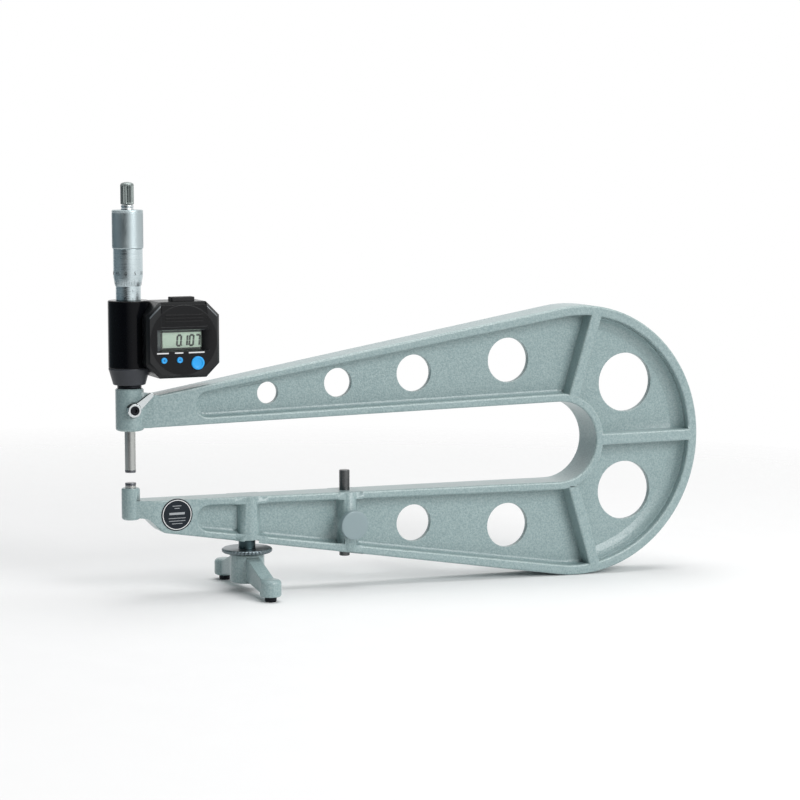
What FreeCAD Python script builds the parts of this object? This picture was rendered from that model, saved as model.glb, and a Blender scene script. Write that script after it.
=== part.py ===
import FreeCAD, Part
import math
import os
import re

import Sketcher

# Sheet metal micrometer with a deep throat and a digital head.
# Every piece is drawn round the spindle axis (x and y zero) with the middle of the throat at z zero,
# the camera side of the frame towards -y and the closed end of the throat towards +x. Its Placement
# then moves it so that the part's origin lies under the middle of the part, at the lowest point.

# Driving dimensions in millimetres, angles in degrees
SIZES = {
    # throat and outline of the cast frame
    "throat_depth": 300.0,
    "throat_end_r": 25.0,
    "throat_flare": 0.8,
    "end_setback": 12.0,
    "end_r": 84.5,
    "arm_flare": 9.45,
    "tip_w": 15.4,
    "end_w": 24.0,
    "nose_w": 9.2,
    "nose_len": 12.0,
    "jaw_drop_x": 17.0,
    "jaw_fillet": 8.0,
    "saddle_x": 13.5,
    "saddle_fillet": 10.0,
    # web, flanges and ribs
    "web_w": 3.6,
    "web_draft": 5.0,
    "floor_fillet": 2.5,
    "flange_tip": 4.1,
    "flange_end": 6.3,
    "throat_flange": 5.2,
    "bay_start_x": 38.5,
    "rib_w": 7.4,
    "rib_foot_out": 10.0,
    "rib_lean": 16.9,
    # lightening holes: distance along the throat, rise above the middle of the arm, diameter
    "hole_one_x": 84.5, "hole_one_rise": 1.0, "hole_one_d": 13.0,
    "hole_two_x": 129.4, "hole_two_rise": 1.1, "hole_two_d": 17.5,
    "hole_three_x": 179.2, "hole_three_rise": 0.3, "hole_three_d": 22.5,
    "hole_four_back": 32.0, "hole_four_rise": 0.1, "hole_four_d": 27.5,
    "end_hole_out": 37.3, "end_hole_z": 34.4, "end_hole_d": 37.0,
    # bosses at the two jaws
    "head_boss_d": 16.4, "head_boss_under": 1.56, "head_boss_proud": 4.23,
    "anvil_boss_d": 10.7, "anvil_boss_proud": 7.26, "anvil_boss_len": 18.6,
    "jaw_step_x": 8.6, "jaw_step": 1.0,
    "boss_chamfer": 0.7, "boss_round": 1.6,
    "running_gap": 0.05, "seat_gap": 0.03, "edge_break": 0.4, "fine_break": 0.2, "cut_over": 1.0,
    # anvil, spindle and opening at rest
    "spindle_d": 6.35, "anvil_proud": 3.0, "anvil_seat": 14.0, "tip_len": 1.5,
    "opening": 6.1,
    "thread_d": 7.0, "thread_in": 4.9, "relief_len": 2.0,
    # micrometer head
    "stem_d": 12.0, "stem_step": 1.4, "neck_d": 14.0, "neck_len": 2.2,
    "cone_d": 18.4, "cone_len": 9.8, "cone_rim": 1.0,
    "barrel_d": 23.8, "barrel_len": 38.9, "barrel_wall": 1.6, "barrel_end_wall": 2.0,
    "barrel_chamfer": 0.5,
    "sleeve_d": 14.4, "sleeve_bore": 12.6, "sleeve_len": 31.0,
    "nut_d": 11.2, "nut_len": 5.0, "nut_wall": 1.0, "inner_sleeve_foot": 5.0, "inner_sleeve_rim": 1.0,
    "thimble_zero": 2.1, "thimble_d": 17.0, "thimble_bevel": 5.5, "thimble_edge": 0.15,
    "thimble_bore": 14.6, "skirt_len": 21.6, "grip_len": 22.0, "grip_d": 18.0, "grip_chamfer": 0.6,
    "grip_wall": 0.75, "thimble_web": 9.0, "taper_big": 6.6, "taper_small": 5.4, "taper_shoulder": 1.0,
    "ratchet_neck_d": 7.4, "ratchet_neck_len": 3.1, "neck_clear": 0.3,
    "knob_d": 7.7, "knob_len": 12.8, "knob_dome": 0.7, "knob_shoulder": 0.5, "knob_tip_d": 2.4,
    "knob_floor": 3.0, "flutes": 18.0, "flute_d": 0.75,
    "ratchet_bore": 4.8, "ratchet_bore_len": 5.0, "ratchet_screw_d": 3.0, "ratchet_screw_in": 2.0,
    "ratchet_head_d": 4.2, "ratchet_head_low": 5.0, "ratchet_head_t": 1.6,
    "spring_low": 3.3, "spring_t": 0.4, "spring_dish": 0.7,
    # rotary encoder in the barrel
    "stator_low": 3.0, "stator_t": 2.5, "rotor_gap": 1.0, "rotor_t": 1.5, "rotor_clear": 1.0,
    "rotor_hub_d": 9.0, "rotor_hub_len": 7.0,
    # spindle clamp
    "lever_under": 12.0, "lever_x": -0.5, "lever_hub_d": 8.2, "lever_hub_t": 4.0, "lever_len": 14.5,
    "lever_w": 5.0, "lever_tip_w": 2.6, "lever_t": 2.2, "lever_angle": 40.0, "lever_seat": 7.6,
    "lever_chamfer": 0.35, "lever_lift": 1.3, "lever_room": 0.5,
    "clamp_screw_d": 4.0, "clamp_head_d": 5.4, "clamp_head_t": 2.2, "clamp_head_sunk": 0.2,
    "clamp_socket": 2.5, "clamp_socket_t": 1.5,
    # display unit beside the barrel; heights are counted from the top of the mounting cone
    "case_left": 4.5, "case_right": 48.6, "case_low": -5.4, "case_high": 38.4, "case_corner": 8.0,
    "case_front": 20.0, "case_split": 9.0, "case_back": 4.0, "case_wall": 2.0, "case_chamfer": 1.8,
    "dial_d": 40.4, "dial_t": 1.1, "dial_x": 26.6, "dial_z": 16.5,
    "window_left": 10.7, "window_right": 42.9, "window_low": 10.1, "window_high": 22.5,
    "view_left": 13.4, "view_right": 38.2, "view_low": 10.9, "view_high": 21.6, "view_edge": 0.5,
    "window_depth": 2.7, "window_frame": 0.8, "window_t": 0.8, "glass_inset": 0.1, "panel_t": 1.5,
    "frame_drop": 1.2, "frame_root": 0.1,
    "board_t": 1.2, "board_left": 12.5, "board_right": 40.2, "board_low": 2.6, "board_high": 22.8,
    "battery_d": 11.6, "battery_t": 5.4, "battery_z": 30.3, "battery_clear": 0.3, "contact_t": 0.4,
    "contact_w": 7.0, "contact_len": 9.2, "pole_d": 9.2, "pole_t": 0.4, "well_wall": 0.8,
    "cover_left": 13.2, "cover_right": 40.7, "cover_low": 24.1, "cover_t": 2.2,
    "ridge_w": 22.6, "ridge_t": 0.35, "ridge_root": 0.2, "ridge_high": 0.9, "ridge_pitch": 1.9,
    "ridge_low": 26.4,
    "preset_x": 14.5, "preset_z": 5.1, "hold_x": 23.9, "hold_z": 5.1, "small_button_d": 3.4,
    "zero_x": 34.8, "zero_z": 3.1, "zero_button_d": 7.7, "button_proud": 0.9, "button_lip": 0.9,
    "button_lip_t": 0.8, "button_travel": 0.6, "button_nub_d": 1.4, "button_gap": 0.1,
    "cap_left": 20.6, "cap_right": 34.6, "cap_high": 2.5, "cap_back": 9.4, "cap_front": 16.4,
    "cap_plug": 1.8, "cap_rim": 1.4, "cap_side": 0.8, "cap_root": 0.5,
    "case_screw_d": 2.0, "case_screw_head_d": 3.8, "case_screw_in": 3.9, "case_screw_grip": 4.0,
    "case_screw_head_t": 0.9, "case_screw_sunk": 1.0, "case_screw_slot": 0.6, "post_in": 2.0,
    "post_wall": 0.5,
    # name plate on the lower arm
    "plate_x": 25.4, "plate_under": 8.7, "plate_d": 19.0, "plate_t": 0.7, "plate_sink": 0.4,
    # levelling foot
    "foot_x": 71.5, "foot_boss_w": 13.4, "foot_boss_t": 18.8, "foot_boss_up": 1.3, "spot_d": 19.4,
    "foot_screw_d": 10.0, "foot_screw_len": 28.0, "disc_gap": 5.7, "disc_d": 30.0, "disc_t": 2.5,
    "disc_chamfer": 0.7, "disc_notches": 40.0, "disc_notch_d": 1.1,
    "washer_d": 20.0, "washer_t": 0.8, "hub_d": 20.5, "hub_len": 16.9, "spigot_d": 8.0,
    "foot_reach": 39.1, "pad_d": 12.6, "pad_under": 2.3, "pad_len": 10.0, "pad_round": 1.2,
    "foot_arm_w": 8.3, "foot_arm_top": 1.0, "foot_arch": 4.2, "foot_arch_x": 12.7, "foot_arch_z": 1.5,
    "foot_arm_low": 1.0, "foot_arm_high": 0.6, "foot_arm_start": 8.6, "foot_arm_end": 5.0,
    "foot_tip_d": 7.0, "foot_tip_step": 1.0, "foot_tip_proud": 3.0, "foot_tip_seat": 4.0,
    "retainer_d": 12.0, "retainer_clear": 0.3, "retainer_t": 1.6, "retainer_screw_d": 4.0,
    "retainer_sink": 2.0, "retainer_screw_len": 5.0,
    # work support rod and its clamp
    "rod_x": 134.2, "rod_d": 6.3, "rod_len": 52.1, "column_w": 12.0, "column_t": 21.4,
    "clamp_under": 19.4, "clamp_boss_d": 14.0, "clamp_boss_y": 12.4,
    "rod_knob_d": 17.5, "rod_knob_t": 4.2, "rod_knob_chamfer": 0.6, "rod_knob_gap": 0.3,
    "rod_screw_d": 5.0, "rod_pad_t": 2.0,
}


def outer_z(along):
    """Height of the frame's outer edge, the line tangent to the round end."""
    return f"(end_r/cos(arm_flare) - tan(arm_flare)*(end_x - ({along})))"


def throat_z(along):
    """Height of the throat's edge, the line tangent to the throat's round end."""
    return f"(throat_end_r/cos(throat_flare) - tan(throat_flare)*(throat_end_x - ({along})))"


def face_y(along):
    """Half thickness of the arms, which grow from the tip to the round end."""
    return f"(tip_w/2 + (end_w - tip_w)/2*(({along}) - nose_len)/(end_x - nose_len))"


def mid_z(along, rise):
    """Height of the middle of the upper arm, raised a little."""
    return f"({outer_z(along)} + {throat_z(along)})/2 + {rise}"


# Places that follow from the driving dimensions
PLACES = {
    "throat_end_x": "throat_depth - throat_end_r",
    "end_x": "throat_depth - end_setback",
    "x_mid": "(end_x + end_r - barrel_d/2)/2",
    "rib_foot_x": "throat_end_x + rib_foot_out",
    "hole_one_z": mid_z("hole_one_x", "hole_one_rise"),
    "hole_two_z": mid_z("hole_two_x", "hole_two_rise"),
    "hole_three_z": mid_z("hole_three_x", "hole_three_rise"),
    "hole_four_x": "throat_end_x - hole_four_back",
    "hole_four_z": mid_z("hole_four_x", "hole_four_rise"),
    "end_hole_x": "end_x + end_hole_out",
    "head_boss_low": f"{throat_z('0')} - head_boss_under",
    "head_boss_high": f"{outer_z('saddle_x')} + head_boss_proud",
    "anvil_boss_top": f"{throat_z('0')} - anvil_boss_proud",
    "anvil_boss_low": "anvil_boss_top + anvil_boss_len",
    "lever_z": "head_boss_high - lever_under",
    "plate_z": f"{throat_z('plate_x')} + plate_under",
    "foot_boss_low": f"{outer_z('foot_x')} - foot_boss_up",
    "clamp_z": f"{throat_z('rod_x')} + clamp_under",
    "anvil_face": "anvil_proud - anvil_boss_top",
    "spindle_end": "anvil_face + opening",
    "neck_top": "head_boss_high + neck_len",
    "cone_top": "neck_top + cone_len",
    "barrel_top": "cone_top + barrel_len",
    "thread_start": "barrel_top + thread_in",
    "rotor_d": "barrel_d - 2*barrel_wall - 2*rotor_clear",
    "thimble_low": "barrel_top + thimble_zero + opening",
    "skirt_top": "thimble_low + skirt_len",
    "grip_top": "skirt_top + grip_len",
    "thimble_top": "grip_top - grip_wall - seat_gap",
    "thimble_floor": "thimble_top - thimble_web",
    "knob_low": "grip_top + ratchet_neck_len",
    "sleeve_top": "barrel_top + sleeve_len",
    "dial_back": "case_front - seat_gap - dial_t",
    "window_front": "case_front - window_depth",
    "case_inner_front": "dial_back - case_wall",
    "cover_seat": "case_front - cover_t - seat_gap",
    "glass_front": "window_front - glass_inset - seat_gap",
    "panel_front": "glass_front - window_t - seat_gap",
    "board_front": "panel_front - panel_t - seat_gap",
    "battery_front": "cover_seat - battery_clear",
    "battery_back": "battery_front - battery_t",
    "well_floor": "battery_back - contact_t - 2*seat_gap",
    "cover_mid": "(cover_left + cover_right)/2",
    "disc_top": "-foot_boss_low - disc_gap",
    "disc_low": "disc_top - disc_t",
    "hub_top": "disc_low - washer_t",
    "hub_low": "hub_top - hub_len",
    "pad_low": "pad_under - hub_low",
    "pad_top": "pad_low - pad_len",
    "rod_top": "anvil_face",
}

doc = FreeCAD.newDocument("SheetMetalMicrometer")
sheet = doc.addObject("Spreadsheet::Sheet", "Sizes")
for row, (alias, value) in enumerate(SIZES.items(), start=1):
    sheet.set(f"A{row}", alias)
    sheet.set(f"B{row}", str(value))
    sheet.setAlias(f"B{row}", alias)
doc.recompute()

WORD = re.compile(r"[a-z_]+")


def bound(text):
    """An expression on the sheet, with each derived place written out."""

    def spell(match):
        word = match.group(0)
        if word in SIZES:
            return f"Sizes.{word}"
        if word in PLACES:
            return f"({bound(PLACES[word])})"
        return word

    return WORD.sub(spell, str(text))


def value_of(text):
    """The number that an expression has now."""
    return float(sheet.evalExpression(bound(text).replace("Sizes.", "")))


# Sketches

def corner(x, y, fillet=None):
    return {"x": x, "y": y, "radius": "0", "turn": 0, "fillet": fillet}


def bend(x, y, radius, turn):
    """A round stretch about a centre; turn is 1 where the path bends left and -1 where it bends right."""
    return {"x": x, "y": y, "radius": radius, "turn": turn, "fillet": None}


def tangent_line(first, second):
    """The straight run from one corner or bend to the next, touching both."""
    gap = second["at"] - first["at"]
    lean = math.asin((second["signed"] - first["signed"]) / gap.Length)
    run = FreeCAD.Vector(gap.x, gap.y, 0).normalize()
    cos_lean, sin_lean = math.cos(lean), math.sin(lean)
    run = FreeCAD.Vector(run.x * cos_lean + run.y * sin_lean, run.y * cos_lean - run.x * sin_lean, 0)
    left = FreeCAD.Vector(-run.y, run.x, 0)
    return first["at"] - left * first["signed"], second["at"] - left * second["signed"]


def tie(sketch, kind, *where, text=None):
    """Adds a constraint and, for a size, binds it to its expression."""
    if text is None:
        return sketch.addConstraint(Sketcher.Constraint(kind, *where))
    index = sketch.addConstraint(Sketcher.Constraint(kind, *where, value_of(text)))
    sketch.setExpression(f"Constraints[{index}]", bound(text))
    return index


def pin_point(sketch, shape, point, x, y):
    """Fixes a point by its two distances from the sketch's origin."""
    if str(x) == "0":
        tie(sketch, "PointOnObject", shape, point, -2)
    else:
        tie(sketch, "DistanceX", -1, 1, shape, point, text=x)
    if str(y) == "0":
        tie(sketch, "PointOnObject", shape, point, -1)
    else:
        tie(sketch, "DistanceY", -1, 1, shape, point, text=y)


def arc_between(centre, start, end, turn):
    first = math.atan2(start.y - centre.y, start.x - centre.x)
    last = math.atan2(end.y - centre.y, end.x - centre.x)
    if turn < 0:
        first, last = last, first
    circle = Part.Circle(centre, FreeCAD.Vector(0, 0, 1), (start - centre).Length)
    return Part.ArcOfCircle(circle, first, last if last > first else last + 2 * math.pi)


def outline(sketch, nodes):
    """A closed path of straight runs, sharp or rounded corners and tangent bends, fully constrained."""
    for node in nodes:
        node["at"] = FreeCAD.Vector(value_of(node["x"]), value_of(node["y"]), 0)
        node["signed"] = node["turn"] * value_of(node["radius"])
    count = len(nodes)
    runs = [list(tangent_line(nodes[i], nodes[(i + 1) % count])) for i in range(count)]
    arcs = []
    for i, node in enumerate(nodes):
        before, after = runs[i - 1], runs[i]
        if node["turn"]:
            arcs.append((node["at"], node["turn"]))
        elif node["fillet"]:
            come = (before[1] - before[0]).normalize()
            leave = (after[1] - after[0]).normalize()
            turn = 1 if come.x * leave.y - come.y * leave.x > 0 else -1
            radius = value_of(node["fillet"])
            back = radius * math.tan(come.getAngle(leave) / 2)
            before[1] = node["at"] - come * back
            after[0] = node["at"] + leave * back
            arcs.append((before[1] + FreeCAD.Vector(-come.y, come.x, 0) * radius * turn, turn))
        else:
            arcs.append(None)
    lines = [sketch.addGeometry(Part.LineSegment(*run), False) for run in runs]
    for i, (node, arc) in enumerate(zip(nodes, arcs)):
        before, after = lines[i - 1], lines[i]
        if arc is None:
            tie(sketch, "Coincident", before, 2, after, 1)
            pin_point(sketch, after, 1, node["x"], node["y"])
            continue
        centre, turn = arc
        curve = sketch.addGeometry(arc_between(centre, runs[i - 1][1], runs[i][0], turn), False)
        tie(sketch, "Tangent", before, 2, curve, 1 if turn > 0 else 2)
        tie(sketch, "Tangent", curve, 2 if turn > 0 else 1, after, 1)
        tie(sketch, "Radius", curve, text=node["fillet"] or node["radius"])
        if node["turn"]:
            pin_point(sketch, curve, 3, node["x"], node["y"])
        else:
            point = sketch.addGeometry(Part.Point(node["at"]), True)
            tie(sketch, "PointOnObject", point, 1, before)
            tie(sketch, "PointOnObject", point, 1, after)
            pin_point(sketch, point, 1, node["x"], node["y"])


def circle(sketch, x, y, diameter):
    centre = FreeCAD.Vector(value_of(x), value_of(y), 0)
    radius = value_of(f"({diameter})/2")
    ring = sketch.addGeometry(Part.Circle(centre, FreeCAD.Vector(0, 0, 1), radius), False)
    pin_point(sketch, ring, 3, x, y)
    tie(sketch, "Radius", ring, text=f"({diameter})/2")


def rectangle(left, right, low, high, fillet=None):
    return [corner(left, low, fillet), corner(right, low, fillet),
            corner(right, high, fillet), corner(left, high, fillet)]


# Bodies and their features

PIECES = []


def place(piece, x="0", y="0", z="0"):
    """Moves a piece from the spindle axis to the part's own frame."""
    PIECES.append(piece)
    for letter, text in (("x", f"({x}) - x_mid"), ("y", y), ("z", f"({z}) + end_r")):
        piece.setExpression(f"Placement.Base.{letter}", bound(text))
    return piece


def new_body(label, facing_front=False, **at):
    """A body; one that faces the front has its local z towards -y and its local y upwards."""
    body = doc.addObject("PartDesign::Body", label)
    body.Label = label
    if facing_front:
        body.Placement.Rotation = FreeCAD.Rotation(FreeCAD.Vector(1, 0, 0), 90)
    return place(body, **at)


def sketch_on(body, plane, name, lift="0"):
    sketch = body.newObject("Sketcher::SketchObject", f"{body.Name}_{name}")
    support = [f for f in body.Origin.OriginFeatures if f.Role == plane][0]
    sketch.AttachmentSupport = [(support, "")]
    sketch.MapMode = "FlatFace"
    if str(lift) != "0":
        sketch.setExpression("AttachmentOffset.Base.z", bound(lift))
    return sketch


def feature(body, kind, name, **settings):
    made = body.newObject(f"PartDesign::{kind}", f"{body.Name}_{name}")
    for key, setting in settings.items():
        if isinstance(setting, str) and key in ("Length", "Radius", "Height", "TaperAngle", "Size"):
            made.setExpression(key, bound(setting))
        else:
            setattr(made, key, setting)
    body.Tip = made
    return made


def pad(body, plane, name, nodes, length, lift="0", **settings):
    sketch = sketch_on(body, plane, f"{name}_sketch", lift)
    outline(sketch, nodes)
    return feature(body, "Pad", name, Profile=sketch, Length=length, **settings)


def pocket(body, plane, name, nodes, length, lift="0", **settings):
    sketch = sketch_on(body, plane, f"{name}_sketch", lift)
    outline(sketch, nodes)
    return feature(body, "Pocket", name, Profile=sketch, Length=length, **settings)


def revolve(body, name, profile, kind="Revolution"):
    sketch = sketch_on(body, "XZ_Plane", f"{name}_sketch")
    outline(sketch, [corner(*point) for point in profile])
    return feature(body, kind, name, Profile=sketch, ReferenceAxis=(sketch, ["V_Axis"]), Angle=360)


def turned(label, profile, facing_front=False, **at):
    """A piece turned about its own z axis, from a profile of (radius, height) points."""
    body = new_body(label, facing_front, **at)
    revolve(body, "turning", profile)
    return body


def drum(body, kind, name, diameter, length, x="0", y="0", z="0", along="z"):
    """A cylinder added to or cut from a body, from its start point along z, x, or towards the front."""
    made = feature(body, f"{kind}Cylinder", name, Radius=f"({diameter})/2", Height=length)
    turns = {"z": (1, 0, 0, 0), "front": (1, 0, 0, 90), "back": (1, 0, 0, -90), "x": (0, 1, 0, 90)}
    turn = turns[along]
    made.Placement.Rotation = FreeCAD.Rotation(FreeCAD.Vector(*turn[:3]), turn[3])
    for letter, text in (("x", x), ("y", y), ("z", z)):
        made.setExpression(f"Placement.Base.{letter}", bound(text))
    return made


def around(body, original, count):
    """Repeats a feature evenly round the body's z axis."""
    ring = body.newObject("PartDesign::PolarPattern", f"{original.Name}_ring")
    ring.Originals = [original]
    axis = [f for f in body.Origin.OriginFeatures if f.Role == "Z_Axis"][0]
    ring.Axis = (axis, [""])
    ring.Angle = 360
    ring.setExpression("Occurrences", bound(count))
    body.Tip = ring
    return ring


def mirrored(body, originals, plane):
    twin = body.newObject("PartDesign::Mirrored", f"{originals[0].Name}_twin")
    twin.Originals = originals
    support = [f for f in body.Origin.OriginFeatures if f.Role == plane][0]
    twin.MirrorPlane = (support, [""])
    body.Tip = twin
    return twin


def edges_where(shape, test):
    return [f"Edge{i}" for i, edge in enumerate(shape.Edges, start=1) if test(edge)]


def dress(body, kind, name, test, size):
    """A fillet or chamfer on the edges of the body that pass a test."""
    doc.recompute()
    base = body.Tip
    key = "Radius" if kind == "Fillet" else "Size"
    return feature(body, kind, name, Base=(base, edges_where(base.Shape, test)), **{key: size})


# The cast frame

def frame_casting():
    frame = new_body("u_frame")
    jaw = "anvil_boss_low - boss_round"
    pad(frame, "XZ_Plane", "arms", [
        corner("boss_round", f"-({jaw})"),
        corner("jaw_step_x", f"-({jaw}) - jaw_step", "jaw_fillet/2"),
        corner("jaw_drop_x", f"-{outer_z('jaw_drop_x')}", "jaw_fillet"),
        bend("end_x", "0", "end_r", 1),
        corner("saddle_x", f"{outer_z('saddle_x')}", "saddle_fillet"),
        corner("boss_round", "head_boss_high - boss_chamfer"),
        corner("boss_round", throat_z("boss_round")),
        bend("throat_end_x", "0", "throat_end_r", -1),
        corner("boss_round", f"-{throat_z('boss_round')}"),
    ], "end_w", SideType="Symmetric")

    # bays on both faces, leaving the web, an outer flange and a flange round the throat
    bay_r = f"({outer_z('bay_start_x')} - {throat_z('bay_start_x')} - 2*flange_tip)/2"
    bay_x = f"bay_start_x + {bay_r}"
    bay_z = f"({outer_z(bay_x)} + {throat_z(bay_x)})/2"
    bays = pocket(frame, "XZ_Plane", "bays", [
        bend(bay_x, f"-{bay_z}", bay_r, 1),
        bend("end_x", "0", "end_r - flange_end", 1),
        bend(bay_x, bay_z, bay_r, 1),
        bend("throat_end_x", "0", "throat_end_r + throat_flange", -1),
    ], "(end_w - web_w)/2", lift="end_w/2", TaperAngle="web_draft")
    mirrored(frame, [bays], "XZ_Plane")
    web_face = value_of("web_w/2")
    dress(frame, "Fillet", "bay_floor", lambda e: max(abs(abs(e.BoundBox.YMin) - web_face),
                                                      abs(abs(e.BoundBox.YMax) - web_face)) < 0.01,
          "floor_fillet")

    # ribs that cross the bays in the round end
    inner = "throat_end_x + throat_end_r + throat_flange/2"
    outer = "end_x + end_r - flange_end/2"
    pad(frame, "XZ_Plane", "middle_rib", rectangle(inner, outer, "-rib_w/2", "rib_w/2"),
        "end_w", SideType="Symmetric")
    low = "throat_end_r + throat_flange/2"
    high = "end_r - flange_end/2"
    half = "rib_w/2/cos(rib_lean)"

    def rib_at(height):
        return f"rib_foot_x + tan(rib_lean)*(({height}) - throat_end_r - throat_flange)"

    for name, side in (("upper", ""), ("lower", "-")):
        pad(frame, "XZ_Plane", f"{name}_rib", [
            corner(f"{rib_at(low)} - {half}", f"{side}({low})"),
            corner(f"{rib_at(low)} + {half}", f"{side}({low})"),
            corner(f"{rib_at(high)} + {half}", f"{side}({high})"),
            corner(f"{rib_at(high)} - {half}", f"{side}({high})"),
        ], "end_w", SideType="Symmetric")

    # the faces converge towards the jaws
    far = "end_x + end_r + cut_over"
    for name, side in (("front", "-"), ("back", "")):
        pocket(frame, "XY_Plane", f"{name}_taper", [
            corner("-head_boss_d", f"{side}(nose_w/2)"),
            corner("0", f"{side}(nose_w/2)"),
            corner("nose_len", f"{side}(tip_w/2)"),
            corner("end_x", f"{side}(end_w/2)"),
            corner(far, f"{side}(end_w/2)"),
            corner(far, f"{side}(end_w/2 + cut_over)"),
            corner("-head_boss_d", f"{side}(end_w/2 + cut_over)"),
        ], "4*end_r", SideType="Symmetric")
    return frame


def frame_holes(frame):
    """Lightening holes: four and the end hole above, two and the end hole below."""
    sketch = sketch_on(frame, "XZ_Plane", "holes_sketch")
    for name in ("hole_one", "hole_two", "hole_three", "hole_four", "end_hole"):
        circle(sketch, f"{name}_x", f"{name}_z", f"{name}_d")
    for name in ("hole_three", "hole_four", "end_hole"):
        circle(sketch, f"{name}_x", f"-{name}_z", f"{name}_d")
    feature(frame, "Pocket", "holes", Profile=sketch, Length="2*end_w", SideType="Symmetric")


def frame_bosses(frame):
    revolve(frame, "head_boss", [
        ("0", "head_boss_low"), ("head_boss_d/2", "head_boss_low", "boss_round"),
        ("head_boss_d/2", "head_boss_high - boss_chamfer"),
        ("head_boss_d/2 - boss_chamfer", "head_boss_high"), ("0", "head_boss_high")])
    revolve(frame, "anvil_boss", [
        ("0", "-anvil_boss_low"), ("anvil_boss_d/2", "-anvil_boss_low", "boss_round"),
        ("anvil_boss_d/2", "-anvil_boss_top - boss_chamfer"),
        ("anvil_boss_d/2 - boss_chamfer", "-anvil_boss_top"), ("0", "-anvil_boss_top")])
    # columns for the foot and the support rod, with a round front and back, and the rod clamp's boss
    for name, low, wide, deep in (("foot", "-foot_boss_low", "foot_boss_w", "foot_boss_t"),
                                  ("rod", f"-{outer_z('rod_x - column_w/2')}", "column_w", "column_t")):
        top = f"-{throat_z(f'{name}_x')} - boss_chamfer"
        pad(frame, "XY_Plane", f"{name}_column", [
            bend(f"{name}_x", f"-({deep} - {wide})/2", f"{wide}/2", 1),
            bend(f"{name}_x", f"({deep} - {wide})/2", f"{wide}/2", 1),
        ], f"{top} - ({low})", lift=low)
    drum(frame, "Additive", "clamp_boss", "clamp_boss_d", "clamp_boss_y",
         x="rod_x", z="-clamp_z", along="front")


def frame_bores(frame):
    drum(frame, "Subtractive", "head_bore", "stem_d + 2*seat_gap", "head_boss_high - head_boss_low",
         z="head_boss_low + stem_step")
    drum(frame, "Subtractive", "spindle_bore", "spindle_d + 4*running_gap", "head_boss_high",
         z="head_boss_low - cut_over")
    drum(frame, "Subtractive", "anvil_bore", "spindle_d + 2*seat_gap", "anvil_seat + cut_over",
         z="-anvil_boss_top - anvil_seat")
    drum(frame, "Subtractive", "lever_spot", "lever_hub_d + 2*lever_room", "head_boss_d",
         x="lever_x", y="-lever_seat", z="lever_z", along="front")
    drum(frame, "Subtractive", "clamp_bore", "clamp_screw_d + 2*running_gap", "head_boss_d",
         x="lever_x", z="lever_z", along="front")
    drum(frame, "Subtractive", "plate_spot", "plate_d + 2*seat_gap", "end_w",
         x="plate_x", y=f"-({face_y('plate_x - plate_d/2')} - plate_sink)", z="-plate_z", along="front")
    drum(frame, "Subtractive", "foot_spot", "spot_d", "end_r", x="foot_x", z="-foot_boss_low - end_r")
    drum(frame, "Subtractive", "foot_bore", "foot_screw_d + 2*running_gap",
         "foot_screw_len - disc_gap + 2*cut_over", x="foot_x", z="-foot_boss_low")
    drum(frame, "Subtractive", "rod_bore", "rod_d + 2*running_gap", "end_r", x="rod_x", z="-end_r")
    drum(frame, "Subtractive", "rod_clamp_bore", "rod_screw_d + 2*running_gap", "2*clamp_boss_y",
         x="rod_x", z="-clamp_z", along="front")


u_frame = frame_casting()
frame_holes(u_frame)
frame_bosses(u_frame)
frame_bores(u_frame)


# Anvil and spindle

def rod_profile(diameter, low, high, chamfer):
    return [("0", low), (f"({diameter})/2", low), (f"({diameter})/2", f"({high}) - {chamfer}"),
            (f"({diameter})/2 - {chamfer}", high), ("0", high)]


turned("anvil", rod_profile("spindle_d", "-anvil_boss_top - anvil_seat", "anvil_face - tip_len",
                            "fine_break"))
turned("anvil_tip", rod_profile("spindle_d", "anvil_face - tip_len", "anvil_face",
                                "fine_break"))
turned("spindle_tip", [
    ("0", "spindle_end"), ("spindle_d/2 - fine_break", "spindle_end"),
    ("spindle_d/2", "spindle_end + fine_break"),
    ("spindle_d/2", "spindle_end + tip_len"), ("0", "spindle_end + tip_len")])
turned("spindle", [
    ("0", "spindle_end + tip_len"), ("spindle_d/2", "spindle_end + tip_len"),
    ("spindle_d/2", "thread_start - relief_len"), ("spindle_d/2 - edge_break", "thread_start - relief_len"),
    ("spindle_d/2 - edge_break", "thread_start"), ("thread_d/2", "thread_start"),
    ("thread_d/2", "thimble_floor - taper_shoulder"), ("taper_big/2", "thimble_floor - taper_shoulder"),
    ("taper_big/2", "thimble_floor"), ("taper_small/2", "thimble_top - neck_clear"),
    ("ratchet_screw_d/2 + running_gap", "thimble_top - neck_clear"),
    ("ratchet_screw_d/2 + running_gap", "thimble_floor + ratchet_screw_in"),
    ("0", "thimble_floor + ratchet_screw_in")])

# Fixed parts of the micrometer head

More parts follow.
